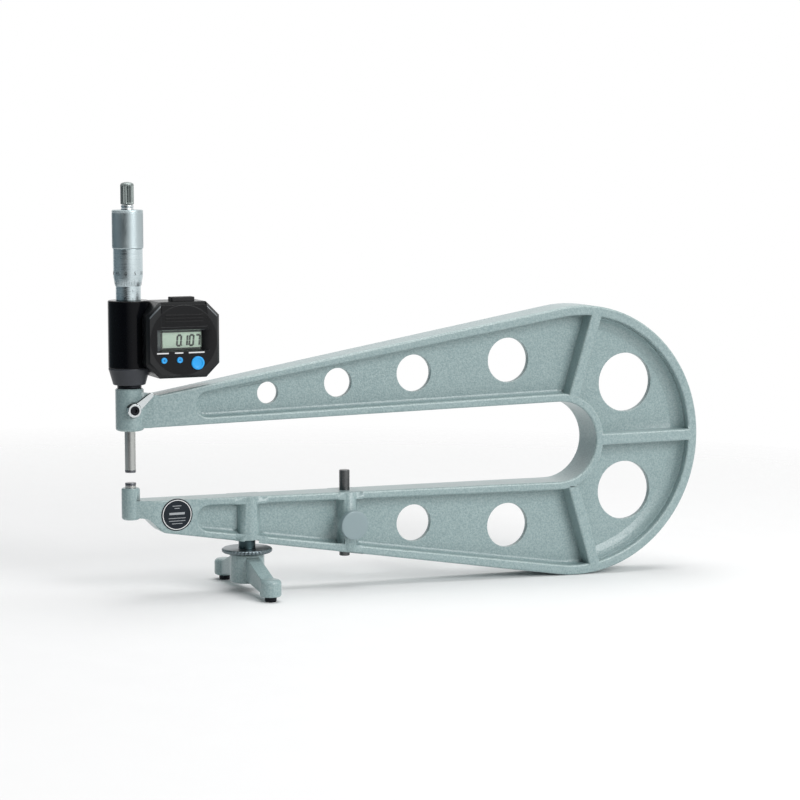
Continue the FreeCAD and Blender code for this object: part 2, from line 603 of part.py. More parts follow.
stem = turned("head_stem", [
    ("spindle_d/2 + running_gap", "head_boss_low + stem_step + seat_gap"),
    ("stem_d/2", "head_boss_low + stem_step + seat_gap"), ("stem_d/2", "head_boss_high"),
    ("neck_d/2", "head_boss_high"), ("neck_d/2", "neck_top"), ("stem_d/2", "neck_top"),
    ("stem_d/2", "cone_top + barrel_end_wall"),
    ("spindle_d/2 + running_gap", "cone_top + barrel_end_wall")])
drum(stem, "Subtractive", "clamp_hole", "clamp_screw_d + 2*running_gap", "stem_d",
     x="lever_x", z="lever_z", along="front")
turned("mounting_cone", [
    ("stem_d/2 + seat_gap", "neck_top"), ("cone_d/2", "neck_top"), ("barrel_d/2", "cone_top - cone_rim"),
    ("barrel_d/2", "cone_top"), ("stem_d/2 + seat_gap", "cone_top")])
turned("head_barrel", [
    ("stem_d/2 + seat_gap", "cone_top"), ("barrel_d/2", "cone_top"),
    ("barrel_d/2", "barrel_top - barrel_chamfer"), ("barrel_d/2 - barrel_chamfer", "barrel_top"),
    ("sleeve_bore/2", "barrel_top"),
    ("sleeve_bore/2", "barrel_top - barrel_end_wall"),
    ("barrel_d/2 - barrel_wall", "barrel_top - barrel_end_wall"),
    ("barrel_d/2 - barrel_wall", "cone_top + barrel_end_wall"),
    ("stem_d/2 + seat_gap", "cone_top + barrel_end_wall")])
turned("outer_sleeve", [
    ("sleeve_bore/2", "barrel_top"), ("sleeve_d/2", "barrel_top"), ("sleeve_d/2", "sleeve_top - edge_break"),
    ("sleeve_d/2 - edge_break", "sleeve_top"), ("sleeve_bore/2", "sleeve_top")])
inner_low = "barrel_top - inner_sleeve_foot"
turned("inner_sleeve", [
    ("thread_d/2 + running_gap", inner_low), ("sleeve_bore/2 + inner_sleeve_rim", inner_low),
    ("sleeve_bore/2 + inner_sleeve_rim", "barrel_top - barrel_end_wall - seat_gap"),
    ("sleeve_bore/2 - seat_gap", "barrel_top - barrel_end_wall - seat_gap"),
    ("sleeve_bore/2 - seat_gap", "sleeve_top - nut_len - nut_wall"),
    ("nut_d/2 - nut_wall", "sleeve_top - nut_len - nut_wall"),
    ("nut_d/2 - nut_wall", "sleeve_top"), ("thread_d/2 + running_gap", "sleeve_top")])
turned("adjusting_nut", [
    ("nut_d/2 - nut_wall + seat_gap", "sleeve_top - nut_len"), ("nut_d/2", "sleeve_top - nut_len"),
    ("nut_d/2", "sleeve_top"), ("nut_d/2 - nut_wall + seat_gap", "sleeve_top")])
stator_low = "cone_top + stator_low"
turned("encoder_stator", [
    ("rotor_hub_d/2 + rotor_clear", stator_low), ("barrel_d/2 - barrel_wall - seat_gap", stator_low),
    ("barrel_d/2 - barrel_wall - seat_gap", f"{stator_low} + stator_t"),
    ("rotor_hub_d/2 + rotor_clear", f"{stator_low} + stator_t")])
rotor_low = f"{stator_low} + stator_t + rotor_gap"
turned("encoder_rotor", [
    ("spindle_d/2 + running_gap", stator_low), ("rotor_hub_d/2", stator_low), ("rotor_hub_d/2", rotor_low),
    ("rotor_d/2", rotor_low), ("rotor_d/2", f"{rotor_low} + rotor_t"),
    ("rotor_hub_d/2", f"{rotor_low} + rotor_t"), ("rotor_hub_d/2", f"{rotor_low} + rotor_hub_len"),
    ("spindle_d/2 + running_gap", f"{rotor_low} + rotor_hub_len")])

# Thimble and ratchet

turned("thimble", [
    ("thimble_bore/2", "thimble_low"), ("thimble_bore/2 + thimble_edge", "thimble_low"),
    ("thimble_d/2", "thimble_low + thimble_bevel"), ("thimble_d/2", "skirt_top - seat_gap"),
    ("grip_d/2 - grip_wall - seat_gap", "skirt_top - seat_gap"),
    ("grip_d/2 - grip_wall - seat_gap", "thimble_top"), ("taper_small/2 + seat_gap", "thimble_top"),
    ("taper_big/2 + seat_gap", "thimble_floor"), ("thimble_bore/2", "thimble_floor")])
turned("thimble_grip", [
    ("grip_d/2 - grip_wall", "skirt_top"), ("grip_d/2", "skirt_top"),
    ("grip_d/2", "grip_top - grip_chamfer"), ("grip_d/2 - grip_chamfer", "grip_top"),
    ("ratchet_neck_d/2 + neck_clear", "grip_top"), ("ratchet_neck_d/2 + neck_clear", "grip_top - grip_wall"),
    ("grip_d/2 - grip_wall", "grip_top - grip_wall")])
turned("ratchet_base", [
    ("ratchet_screw_d/2 + running_gap", "thimble_top"), ("ratchet_neck_d/2", "thimble_top"),
    ("ratchet_neck_d/2", "knob_low - 3*fine_break"),
    ("ratchet_neck_d/2 - 2*fine_break", "knob_low - fine_break"),
    ("ratchet_screw_d/2 + running_gap", "knob_low - fine_break")])
turned("ratchet_screw", [
    ("0", "thimble_floor + ratchet_screw_in + fine_break"),
    ("ratchet_screw_d/2", "thimble_floor + ratchet_screw_in + fine_break"),
    ("ratchet_screw_d/2", "knob_low + ratchet_head_low"), ("ratchet_head_d/2", "knob_low + ratchet_head_low"),
    ("ratchet_head_d/2", "knob_low + ratchet_head_low + ratchet_head_t"),
    ("0", "knob_low + ratchet_head_low + ratchet_head_t")])
turned("ratchet_spring", [
    ("ratchet_screw_d/2 + 2*running_gap", "knob_low + spring_low + spring_dish"),
    ("ratchet_head_d/2", "knob_low + spring_low"), ("ratchet_head_d/2", "knob_low + spring_low + spring_t"),
    ("ratchet_screw_d/2 + 2*running_gap", "knob_low + spring_low + spring_dish + spring_t")])
bore_top = "knob_low + knob_floor + ratchet_bore_len"
knob = turned("ratchet_knob", [
    ("ratchet_screw_d/2 + running_gap", "knob_low"), ("knob_d/2 - edge_break", "knob_low"),
    ("knob_d/2", "knob_low + edge_break"), ("knob_d/2", "knob_low + knob_len - 2*knob_dome"),
    ("knob_d/2 - knob_shoulder", "knob_low + knob_len - knob_dome"), ("knob_tip_d/2", "knob_low + knob_len"),
    ("0", "knob_low + knob_len"), ("0", bore_top), ("ratchet_bore/2", bore_top),
    ("ratchet_bore/2", "knob_low + knob_floor"),
    ("ratchet_screw_d/2 + running_gap", "knob_low + knob_floor")])
flute = drum(knob, "Subtractive", "flute", "flute_d", "knob_len - 2*knob_dome",
             x="knob_d/2", z="knob_low + 2*edge_break")
around(knob, flute, "flutes")

# Spindle clamp on the front of the upper boss

lever = new_body("clamp_lever", True, x="lever_x", z="lever_z")
pad(lever, "XY_Plane", "arm", [
    bend("0", "0", "lever_w/2", 1),
    bend("(lever_len - lever_tip_w/2)*cos(lever_angle)", "(lever_len - lever_tip_w/2)*sin(lever_angle)",
         "lever_tip_w/2", 1),
], "lever_t", lift="lever_seat + lever_lift")
lever_top = "lever_seat + lever_hub_t"
revolve(lever, "hub", [
    ("0", "lever_seat + seat_gap"), ("lever_hub_d/2", "lever_seat + seat_gap"),
    ("lever_hub_d/2", f"{lever_top} - lever_chamfer"), ("lever_hub_d/2 - lever_chamfer", lever_top),
    ("0", lever_top)])
drum(lever, "Subtractive", "head_seat", "clamp_head_d + 2*seat_gap", "lever_hub_t",
     z="lever_seat + lever_hub_t - clamp_head_t")
drum(lever, "Subtractive", "shank_bore", "clamp_screw_d + 2*seat_gap", "2*lever_hub_t",
     z="lever_seat - cut_over")

clamp_screw = new_body("clamp_screw", True, x="lever_x", z="lever_z")
drum(clamp_screw, "Additive", "shank", "clamp_screw_d",
     "lever_seat + lever_hub_t - clamp_head_t - spindle_d/2", z="spindle_d/2 + 2*running_gap")
drum(clamp_screw, "Additive", "head", "clamp_head_d", "clamp_head_t - clamp_head_sunk",
     z="lever_seat + lever_hub_t - clamp_head_t + seat_gap")
socket = "clamp_socket/2"
hexagon = [corner(f"{socket}/cos(30)*cos({60 * i})", f"{socket}/cos(30)*sin({60 * i})") for i in range(6)]
for node in (hexagon[0], hexagon[3]):
    node["y"] = "0"
pocket(clamp_screw, "XY_Plane", "hexagon", hexagon, "clamp_socket_t",
       lift="lever_seat + lever_hub_t - clamp_head_sunk + seat_gap")


# Display unit, drawn facing the front: local x along the throat, local y up, local z to the front

def octagon(inset="0"):
    left, right = f"case_left + {inset}", f"case_right - {inset}"
    low, high = f"case_low + {inset}", f"case_high - {inset}"
    cut = f"(case_corner - (2 - sqrt(2))*{inset})"
    return [corner(f"{left} + {cut}", low), corner(f"{right} - {cut}", low),
            corner(right, f"{low} + {cut}"), corner(right, f"{high} - {cut}"),
            corner(f"{right} - {cut}", high), corner(f"{left} + {cut}", high),
            corner(left, f"{high} - {cut}"), corner(left, f"{low} + {cut}")]


def barrel_saddle(body):
    """Lets the head's barrel into the left side of the display unit."""
    made = feature(body, "SubtractiveCylinder", "saddle", Radius="barrel_d/2 + seat_gap",
                   Height="case_high - case_low + 2*case_corner")
    made.Placement.Rotation = FreeCAD.Rotation(FreeCAD.Vector(1, 0, 0), -90)
    made.setExpression("Placement.Base.y", bound("case_low - case_corner"))


SCREW_PLACES = (("case_right - case_screw_in", "case_low + case_corner + post_in"),
                ("case_right - case_screw_in", "case_high - case_corner - post_in"),
                ("barrel_d/2 + case_screw_in", "case_low + case_screw_in"),
                ("barrel_d/2 + case_screw_in", "case_high - case_screw_in"))
BUTTONS = (("preset", "small_button_d"), ("hold", "small_button_d"), ("zero", "zero_button_d"))

bezel = new_body("display_bezel", True, z="cone_top")
pad(bezel, "XY_Plane", "shell", octagon(), "case_front - case_split", lift="case_split")
dress(bezel, "Chamfer", "front_edge", lambda e: abs(e.BoundBox.ZMin - value_of("case_front")) < 0.01
      and abs(e.BoundBox.ZMax - value_of("case_front")) < 0.01, "case_chamfer")
pocket(bezel, "XY_Plane", "cavity", octagon("case_wall"), "case_inner_front - case_split",
       lift="case_split", Reversed=True)
barrel_saddle(bezel)
drum(bezel, "Subtractive", "dial_seat", "dial_d + 2*seat_gap", "case_wall", x="dial_x", y="dial_z",
     z="dial_back")
pocket(bezel, "XY_Plane", "cover_slot",
       rectangle("cover_left - seat_gap", "cover_right + seat_gap", "cover_low - seat_gap",
                 "case_high + cut_over"),
       "cover_t + seat_gap", lift="case_front")
pocket(bezel, "XY_Plane", "window_hole",
       rectangle("window_left - window_frame - seat_gap", "window_right + window_frame + seat_gap",
                 "window_low - window_frame - seat_gap", "window_high + window_frame + seat_gap"),
       "2*case_wall", lift="case_front - dial_t/2")
drum(bezel, "Additive", "battery_well", "battery_d + 2*battery_clear + 2*well_wall",
     "case_inner_front - well_floor + well_wall", x="cover_mid", y="battery_z", z="well_floor - well_wall")
drum(bezel, "Subtractive", "battery_hole", "battery_d + 2*battery_clear", "case_front - well_floor",
     x="cover_mid", y="battery_z", z="well_floor")
for number, (x, y) in enumerate(SCREW_PLACES):
    drum(bezel, "Additive", f"post_{number}", "case_screw_head_d + 2*post_wall",
         "case_inner_front - case_split",
         x=x, y=y, z="case_split")
    drum(bezel, "Subtractive", f"screw_hole_{number}", "case_screw_d + 2*seat_gap",
         "case_screw_grip + 2*cut_over", x=x, y=y, z="case_split - cut_over")
for name, size in BUTTONS:
    drum(bezel, "Subtractive", f"{name}_hole", f"{size} + 2*running_gap", "3*case_wall",
         x=f"{name}_x", y=f"{name}_z", z="case_inner_front - case_wall")
pocket(bezel, "XZ_Plane", "plug_hole",
       rectangle("cap_left + cap_rim - seat_gap", "cap_right - cap_rim + seat_gap",
                 "cap_back + cap_side - seat_gap", "cap_front - cap_side + seat_gap"),
       "2*case_wall", lift="case_wall + cut_over - case_high")

dial = new_body("dial_plate", True, z="cone_top")
drum(dial, "Additive", "disc", "dial_d", "dial_t", x="dial_x", y="dial_z", z="dial_back")
pad(dial, "XY_Plane", "window_frame",
    rectangle("window_left - window_frame", "window_right + window_frame",
              "window_low - window_frame", "window_high + window_frame"),
    "dial_back - case_inner_front + frame_drop + frame_root", lift="case_inner_front - frame_drop")
pocket(dial, "XY_Plane", "cover_gap",
       rectangle("cover_left - seat_gap", "cover_right + seat_gap", "cover_low - seat_gap",
                 "case_high + cut_over"),
       "2*dial_t", lift="case_front + dial_t/2")
rim = sketch_on(dial, "XY_Plane", "bevel_top", "case_front")
outline(rim, rectangle("window_left", "window_right", "window_low", "window_high"))
floor = sketch_on(dial, "XY_Plane", "bevel_floor", "window_front")
outline(floor, rectangle("view_left", "view_right", "view_low", "view_high"))
feature(dial, "SubtractiveLoft", "bevel", Profile=rim, Sections=[floor], Ruled=True)
pocket(dial, "XY_Plane", "view_opening", rectangle("view_left", "view_right", "view_low", "view_high"),
       "3*glass_inset", lift="window_front + glass_inset")
pocket(dial, "XY_Plane", "glass_seat",
       rectangle("view_left - view_edge", "view_right + view_edge", "view_low - view_edge",
                 "view_high + view_edge"),
       "2*case_wall", lift="window_front - glass_inset")
for name, size in BUTTONS:
    drum(dial, "Subtractive", f"{name}_hole", f"{size} + 2*running_gap", "2*dial_t",
         x=f"{name}_x", y=f"{name}_z", z="dial_back - dial_t/2")

glass_edges = rectangle("view_left - view_edge + seat_gap", "view_right + view_edge - seat_gap",
                        "view_low - view_edge + seat_gap", "view_high + view_edge - seat_gap")
pad(new_body("lcd_window", True, z="cone_top"), "XY_Plane", "pane", glass_edges, "window_t",
    lift="glass_front - window_t")
pad(new_body("lcd_panel", True, z="cone_top"), "XY_Plane", "cell", glass_edges, "panel_t",
    lift="panel_front - panel_t")
pad(new_body("circuit_board", True, z="cone_top"), "XY_Plane", "card",
    rectangle("board_left", "board_right", "board_low", "board_high"), "board_t",
    lift="board_front - board_t")

battery = new_body("battery", True, x="cover_mid", z="cone_top + battery_z")
drum(battery, "Additive", "can", "battery_d", "battery_t - pole_t", z="battery_back + pole_t")
drum(battery, "Additive", "pole", "pole_d", "2*pole_t", z="battery_back")
contact = new_body("battery_contact", True, x="cover_mid", z="cone_top + battery_z")
pad(contact, "XY_Plane", "strip",
    rectangle("-contact_w/2", "contact_w/2", "-contact_len/2", "contact_len/2"),
    "contact_t", lift="battery_back - seat_gap - contact_t")

cover = new_body("battery_cover", True, z="cone_top")
pad(cover, "XY_Plane", "plate",
    rectangle("cover_left", "cover_right", "cover_low", "case_high - case_chamfer"),
    "cover_t - seat_gap", lift="cover_seat + seat_gap")
for number in range(3):
    ridge_low = f"ridge_low + {number}*ridge_pitch"
    pad(cover, "XY_Plane", f"ridge_{number}",
        rectangle("cover_mid - ridge_w/2", "cover_mid + ridge_w/2", ridge_low, f"{ridge_low} + ridge_high"),
        "ridge_t + ridge_root", lift="case_front - ridge_root")

cap = new_body("connector_cap", True, z="cone_top")
pad(cap, "XZ_Plane", "lid", rectangle("cap_left", "cap_right", "cap_back", "cap_front", "cap_side"),
    "cap_high", lift="-case_high - seat_gap", Reversed=True)
pad(cap, "XZ_Plane", "plug",
    rectangle("cap_left + cap_rim", "cap_right - cap_rim", "cap_back + cap_side", "cap_front - cap_side"),
    "cap_plug + cap_root", lift="-case_high - seat_gap - cap_root")

for name, size in BUTTONS:
    button = new_body(f"{name}_button", True, x=f"{name}_x", z=f"cone_top + {name}_z")
    lip_front = "case_inner_front - button_gap"
    nub_back = "board_front + button_travel + button_gap"
    drum(button, "Additive", "crown", size, f"case_front + button_proud - ({lip_front})", z=lip_front)
    drum(button, "Additive", "lip", f"{size} + 2*button_lip", "button_lip_t", z=f"{lip_front} - button_lip_t")
    drum(button, "Additive", "nub", "button_nub_d", f"{lip_front} - ({nub_back})", z=nub_back)

case = new_body("display_case", True, z="cone_top")
pad(case, "XY_Plane", "shell", octagon(), "case_split + case_back - seat_gap", lift="-case_back")
pocket(case, "XY_Plane", "cavity", octagon("case_wall"), "case_split + case_back - case_wall",
       lift="case_split")
barrel_saddle(case)
for number, (x, y) in enumerate(SCREW_PLACES):
    drum(case, "Additive", f"post_{number}", "case_screw_head_d + 2*post_wall",
         "case_split + case_back - case_wall/2 - seat_gap", x=x, y=y, z="case_wall/2 - case_back")
    drum(case, "Subtractive", f"sink_{number}", "case_screw_head_d + 2*seat_gap",
         "cut_over + case_screw_sunk", x=x, y=y, z="-case_back - cut_over")
    drum(case, "Subtractive", f"screw_hole_{number}", "case_screw_d + 2*seat_gap", "2*case_split + case_back",
         x=x, y=y, z="-case_back - cut_over")


def part_object(kind, name, x="0", y="0", z="0", rotation=None, **sizes):
    """A primitive outside a body, its sizes and place bound to the sheet."""
    made = doc.addObject(f"Part::{kind}", name)
    for key, text in sizes.items():
        made.setExpression(key, bound(text))
    if rotation:
        made.Placement.Rotation = rotation
    for letter, text in (("x", x), ("y", y), ("z", z)):
        made.setExpression(f"Placement.Base.{letter}", bound(text))
    return made


# Four pan head screws close the display unit from behind
TOWARDS_FRONT = FreeCAD.Rotation(FreeCAD.Vector(1, 0, 0), 90)
screws = []
for number, (x, y) in enumerate(SCREW_PLACES):
    shank = part_object("Cylinder", f"case_screw_shank_{number}", x, "case_back - case_screw_sunk", y,
                        TOWARDS_FRONT, Radius="case_screw_d/2",
                        Height="case_split + case_back + case_screw_grip - case_screw_sunk")
    head = part_object("Cylinder", f"case_screw_head_{number}", x,
                       "case_back - case_screw_sunk + case_screw_head_t", y, TOWARDS_FRONT,
                       Radius="case_screw_head_d/2", Height="case_screw_head_t")
    slot = part_object("Box", f"case_screw_slot_{number}", f"{x} - case_screw_head_d",
                       "case_back - case_screw_sunk + case_screw_head_t/2",
                       f"({y}) - case_screw_slot/2", Length="2*case_screw_head_d", Width="case_screw_head_t",
                       Height="case_screw_slot")
    joined = doc.addObject("Part::Fuse", f"case_screw_body_{number}")
    joined.Base, joined.Tool = shank, head
    slotted = doc.addObject("Part::Cut", f"case_screw_{number}")
    slotted.Base, slotted.Tool = joined, slot
    screws.append(slotted)
case_screws = doc.addObject("Part::Compound", "case_screws")
case_screws.Links = screws
place(case_screws, z="cone_top")

# Name plate, a bare disc let into the face of the lower arm
plate = new_body("name_plate", True, x="plate_x", z="-plate_z")
plate_back = f"{face_y('plate_x - plate_d/2')} - plate_sink"
drum(plate, "Additive", "disc", "plate_d", "plate_t", z=f"{plate_back} + seat_gap")

# Levelling foot under the lower arm

foot_screw = turned("foot_screw", [
    ("0", "hub_low + retainer_sink"), ("spigot_d/2", "hub_low + retainer_sink"), ("spigot_d/2", "disc_low"),
    ("disc_d/2 - disc_chamfer", "disc_low"), ("disc_d/2", "disc_low + disc_chamfer"),
    ("disc_d/2", "disc_top - disc_chamfer"), ("disc_d/2 - disc_chamfer", "disc_top"),
    ("foot_screw_d/2", "disc_top"), ("foot_screw_d/2", "disc_top + foot_screw_len - disc_chamfer"),
    ("foot_screw_d/2 - disc_chamfer", "disc_top + foot_screw_len"),
    ("0", "disc_top + foot_screw_len")], x="foot_x")
notch = drum(foot_screw, "Subtractive", "notch", "disc_notch_d", "2*disc_t", x="disc_d/2 + disc_notch_d/5",
             z="disc_low - disc_t/2")
around(foot_screw, notch, "disc_notches")
drum(foot_screw, "Subtractive", "retainer_thread", "retainer_screw_d + 2*seat_gap",
     "retainer_screw_len + 2*cut_over", z="hub_low + retainer_sink - cut_over")
turned("foot_washer", [
    ("spigot_d/2 + seat_gap", "hub_top + seat_gap"), ("washer_d/2", "hub_top + seat_gap"),
    ("washer_d/2", "disc_low - seat_gap"), ("spigot_d/2 + seat_gap", "disc_low - seat_gap")], x="foot_x")

bracket = new_body("foot_bracket", x="foot_x")
revolve(bracket, "hub", [
    ("0", "hub_low"), ("hub_d/2", "hub_low", "pad_round"), ("hub_d/2", "hub_top", "pad_round/2"),
    ("0", "hub_top")])
for name, side in (("front", "-"), ("back", "")):
    pad(bracket, "YZ_Plane", f"{name}_arm", [
        corner("0", "hub_top - foot_arm_top"), corner("0", "hub_low + foot_arm_low"),
        corner(f"{side}foot_arch_x", "hub_low + foot_arch_z", "foot_arch"),
        corner(f"{side}(foot_reach - foot_arm_end)", "foot_arm_low - pad_low"),
        corner(f"{side}foot_reach", "foot_arm_low - pad_low"),
        corner(f"{side}foot_reach", "-pad_top - foot_arm_high"),
        corner(f"{side}(foot_reach - foot_arm_end)", "-pad_top - foot_arm_high", "pad_d/2"),
        corner(f"{side}foot_arm_start", "hub_top - foot_arm_top", "pad_d/4"),
    ], "foot_arm_w", SideType="Symmetric")
    drum(bracket, "Additive", f"{name}_pad_boss", "pad_d", "pad_low - pad_top",
         y=f"{side}foot_reach", z="-pad_low")
drum(bracket, "Subtractive", "spigot_bore", "spigot_d + 2*running_gap", "2*hub_len", z="hub_low - cut_over")
drum(bracket, "Subtractive", "retainer_sink", "retainer_d + 2*retainer_clear", "hub_len",
     z="hub_low + retainer_sink - hub_len")
for name, side in (("front", "-"), ("back", "")):
    drum(bracket, "Subtractive", f"{name}_tip_bore", "foot_tip_d - 2*foot_tip_step + 2*seat_gap",
         "foot_tip_seat + 2*cut_over", y=f"{side}foot_reach", z="-pad_low - cut_over")
    turned(f"foot_tip_{name}", [
        ("0", "-pad_low - foot_tip_proud"), ("foot_tip_d/2 - edge_break", "-pad_low - foot_tip_proud"),
        ("foot_tip_d/2", "-pad_low - foot_tip_proud + edge_break"), ("foot_tip_d/2", "-pad_low"),
        ("foot_tip_d/2 - foot_tip_step", "-pad_low"),
        ("foot_tip_d/2 - foot_tip_step", "-pad_low + foot_tip_seat"),
        ("0", "-pad_low + foot_tip_seat")], x="foot_x", y=f"{side}foot_reach")
retainer_top = "hub_low + retainer_sink - seat_gap"
turned("foot_retainer", [
    ("0", f"{retainer_top} - retainer_t"), ("retainer_d/2", f"{retainer_top} - retainer_t"),
    ("retainer_d/2", retainer_top), ("retainer_screw_d/2", retainer_top),
    ("retainer_screw_d/2", f"{retainer_top} + retainer_screw_len"),
    ("0", f"{retainer_top} + retainer_screw_len")], x="foot_x")

# Work support rod, level with the anvil, and its clamp

turned("support_rod", [
    ("0", "rod_top - rod_len"), ("rod_d/2 - edge_break", "rod_top - rod_len"),
    ("rod_d/2", "rod_top - rod_len + edge_break"), ("rod_d/2", "rod_top - edge_break"),
    ("rod_d/2 - edge_break", "rod_top"), ("0", "rod_top")], x="rod_x")
rod_pad_front = "rod_d/2 + running_gap + rod_pad_t"
turned("rod_pad", [
    ("0", "rod_d/2 + running_gap"), ("rod_screw_d/2 - fine_break", "rod_d/2 + running_gap"),
    ("rod_screw_d/2", "rod_d/2 + running_gap + fine_break"), ("rod_screw_d/2", rod_pad_front),
    ("0", rod_pad_front)], True, x="rod_x", z="-clamp_z")
knob_back = "clamp_boss_y + rod_knob_gap"
turned("rod_knob", [
    ("0", f"{rod_pad_front} + seat_gap"), ("rod_screw_d/2", f"{rod_pad_front} + seat_gap"),
    ("rod_screw_d/2", knob_back), ("rod_knob_d/2 - rod_knob_chamfer", knob_back),
    ("rod_knob_d/2", f"{knob_back} + rod_knob_chamfer"),
    ("rod_knob_d/2", f"{knob_back} + rod_knob_t - rod_knob_chamfer"),
    ("rod_knob_d/2 - rod_knob_chamfer", f"{knob_back} + rod_knob_t"),
    ("0", f"{knob_back} + rod_knob_t")], True, x="rod_x", z="-clamp_z")

doc.recompute()

# Every object and every piece is sound before anything is written
for made in doc.Objects:
    wrong = [state for state in made.State if state in ("Invalid", "Error")]
    if wrong:
        raise SystemExit(f"{made.Name} failed: {made.State}")
for piece in PIECES:
    if piece.Shape.isNull() or not piece.Shape.isValid() or not piece.Shape.Solids:
        raise SystemExit(f"{piece.Label} has no sound solid")

os.makedirs("parts", exist_ok=True)
for piece in PIECES:
    piece.Shape.exportStep(os.path.join("parts", f"{piece.Label}.step"))
    box = piece.Shape.BoundBox
    print(f"{piece.Label}: {len(piece.Shape.Solids)} solid, {piece.Shape.Volume:.1f} mm3, "
          f"x {box.XMin:.1f} {box.XMax:.1f}, y {box.YMin:.1f} {box.YMax:.1f}, "
          f"z {box.ZMin:.1f} {box.ZMax:.1f}")
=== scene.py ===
import math

import bmesh
import bpy
from mathutils import Matrix, Vector


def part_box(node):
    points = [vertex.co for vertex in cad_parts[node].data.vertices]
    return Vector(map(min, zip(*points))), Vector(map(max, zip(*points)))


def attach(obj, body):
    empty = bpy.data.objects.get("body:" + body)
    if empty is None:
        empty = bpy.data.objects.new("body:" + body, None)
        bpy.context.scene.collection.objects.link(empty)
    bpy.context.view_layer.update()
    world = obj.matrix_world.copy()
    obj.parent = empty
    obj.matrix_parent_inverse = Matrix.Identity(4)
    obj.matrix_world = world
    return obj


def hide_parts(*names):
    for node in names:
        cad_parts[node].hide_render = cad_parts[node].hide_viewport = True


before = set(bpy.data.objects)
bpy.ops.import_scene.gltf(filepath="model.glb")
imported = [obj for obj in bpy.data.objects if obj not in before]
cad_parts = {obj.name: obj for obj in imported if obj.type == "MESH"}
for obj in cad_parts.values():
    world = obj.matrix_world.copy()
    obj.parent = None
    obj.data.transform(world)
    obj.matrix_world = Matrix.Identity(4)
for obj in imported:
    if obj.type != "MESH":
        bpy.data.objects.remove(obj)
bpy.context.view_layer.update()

# Pieces are drawn in millimetres round the spindle axis, with the middle of the throat at height zero
SPINDLE_X, THROAT_Z = -180.3, 84.5
TO_ROW = Matrix.Scale(0.001, 4) @ Matrix.Translation((SPINDLE_X, 0.0, THROAT_Z))
FACING_FRONT = Matrix.Rotation(math.pi / 2, 4, "X")
READING_SIDE = math.radians(-114.0)


def at(x=0.0, y=0.0, z=0.0):
    return Matrix.Translation((x, y, z))


def turn(angle, axis="Z"):
    return Matrix.Rotation(angle, 4, axis)


def heights(node):
    """Lowest and highest point of a CAD node, in millimetres from the middle of the throat."""
    low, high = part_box(node)
    return low.z * 1000 - THROAT_Z, high.z * 1000 - THROAT_Z


def depths(node):
    """Back and front of a CAD node, in millimetres towards the viewer."""
    low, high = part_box(node)
    return -high.y * 1000, -low.y * 1000


def centre_of(node):
    """Middle of a CAD node seen from the front, in millimetres."""
    low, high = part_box(node)
    return (low.x + high.x) * 500 - SPINDLE_X, (low.z + high.z) * 500 - THROAT_Z


# Shapes

def tidy(shape, apart=0.0005):
    bmesh.ops.remove_doubles(shape, verts=shape.verts, dist=apart)
    bmesh.ops.recalc_face_normals(shape, faces=shape.faces)
    return shape


def lathe(profile, steps=96):
    """Turns a profile of (radius, height) points round the z axis."""
    shape = bmesh.new()
    points = [shape.verts.new((radius, 0.0, height)) for radius, height in profile]
    solid_ends = profile[0][0] == 0 and profile[-1][0] == 0
    ends = points[1:] if solid_ends else points[1:] + points[:1]
    edges = [shape.edges.new(pair) for pair in zip(points, ends)]
    bmesh.ops.spin(shape, geom=points + edges, cent=(0, 0, 0), axis=(0, 0, 1), angle=2 * math.pi,
                   steps=steps, use_merge=True)
    return tidy(shape)


def soften(shape, width, segments=2, sharper_than=25.0):
    """Rounds every edge that is sharper than an angle."""
    limit = math.radians(sharper_than)
    edges = [e for e in shape.edges if len(e.link_faces) == 2 and e.calc_face_angle() > limit]
    bmesh.ops.bevel(shape, geom=edges, offset=width, offset_type="OFFSET", affect="EDGES",
                    segments=segments, profile=0.5, material=-1, clamp_overlap=True)
    return shape


def round_rims(shape, width, chosen, segments=3):
    """Rounds the outer edges that a test of middle and the two normals picks; upward-facing rim faces take the
    piece's second finish, a paler painted highlight.
    """
    shape.normal_update()
    rims = [e for e in shape.edges if len(e.link_faces) == 2 and e.is_convex
            and e.calc_face_angle() > math.radians(30)
            and chosen((e.verts[0].co + e.verts[1].co) / 2, *(f.normal for f in e.link_faces))]
    made = bmesh.ops.bevel(shape, geom=rims, offset=width, offset_type="OFFSET", affect="EDGES",
                           segments=segments, profile=0.5, material=-1, clamp_overlap=False, loop_slide=False)
    shape.normal_update()
    # Upward-facing bevel faces get the second finish: a painted highlight on the upper rims
    for face in made["faces"]:
        if face.normal.z > 0.12:
            face.material_index = 1
    return shape


def scalloped(shape, beyond, depth_at):
    """Draws the points beyond a radius inwards, by a depth that depends on their angle and height."""
    for vertex in shape.verts:
        reach = math.hypot(vertex.co.x, vertex.co.y)
        if reach > beyond:
            kept = 1 - depth_at(math.atan2(vertex.co.y, vertex.co.x), vertex.co.z) / reach
            vertex.co.x *= kept
            vertex.co.y *= kept
    return shape


def moved(shape, matrix):
    bmesh.ops.transform(shape, matrix=matrix, verts=shape.verts)
    return shape


def block(shape, matrix, width, height, depth):
    """Adds a closed rectangular bar to a shape, in the place that the matrix gives."""
    bmesh.ops.create_cube(shape, size=1.0, matrix=matrix @ Matrix.Diagonal((width, height, depth, 1.0)))


def join(shape, other):
    """Adds the faces of another shape and frees it."""
    carrier = bpy.data.meshes.new("joined")
    other.to_mesh(carrier)
    other.free()
    shape.from_mesh(carrier)
    bpy.data.meshes.remove(carrier)
    return shape


def merged_solid(node, apart=0.001):
    """A copy of a CAD solid without doubled points or split flat faces."""
    shape = bmesh.new()
    shape.from_mesh(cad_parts[node].data)
    moved(shape, TO_ROW.inverted())
    bmesh.ops.remove_doubles(shape, verts=shape.verts, dist=apart)
    bmesh.ops.dissolve_limit(shape, angle_limit=math.radians(0.5), verts=shape.verts, edges=shape.edges)
    return shape


def from_solid(node, width, segments=2):
    """A merged copy of a CAD solid with its edges rounded."""
    return soften(merged_solid(node), width, segments, 30.0)


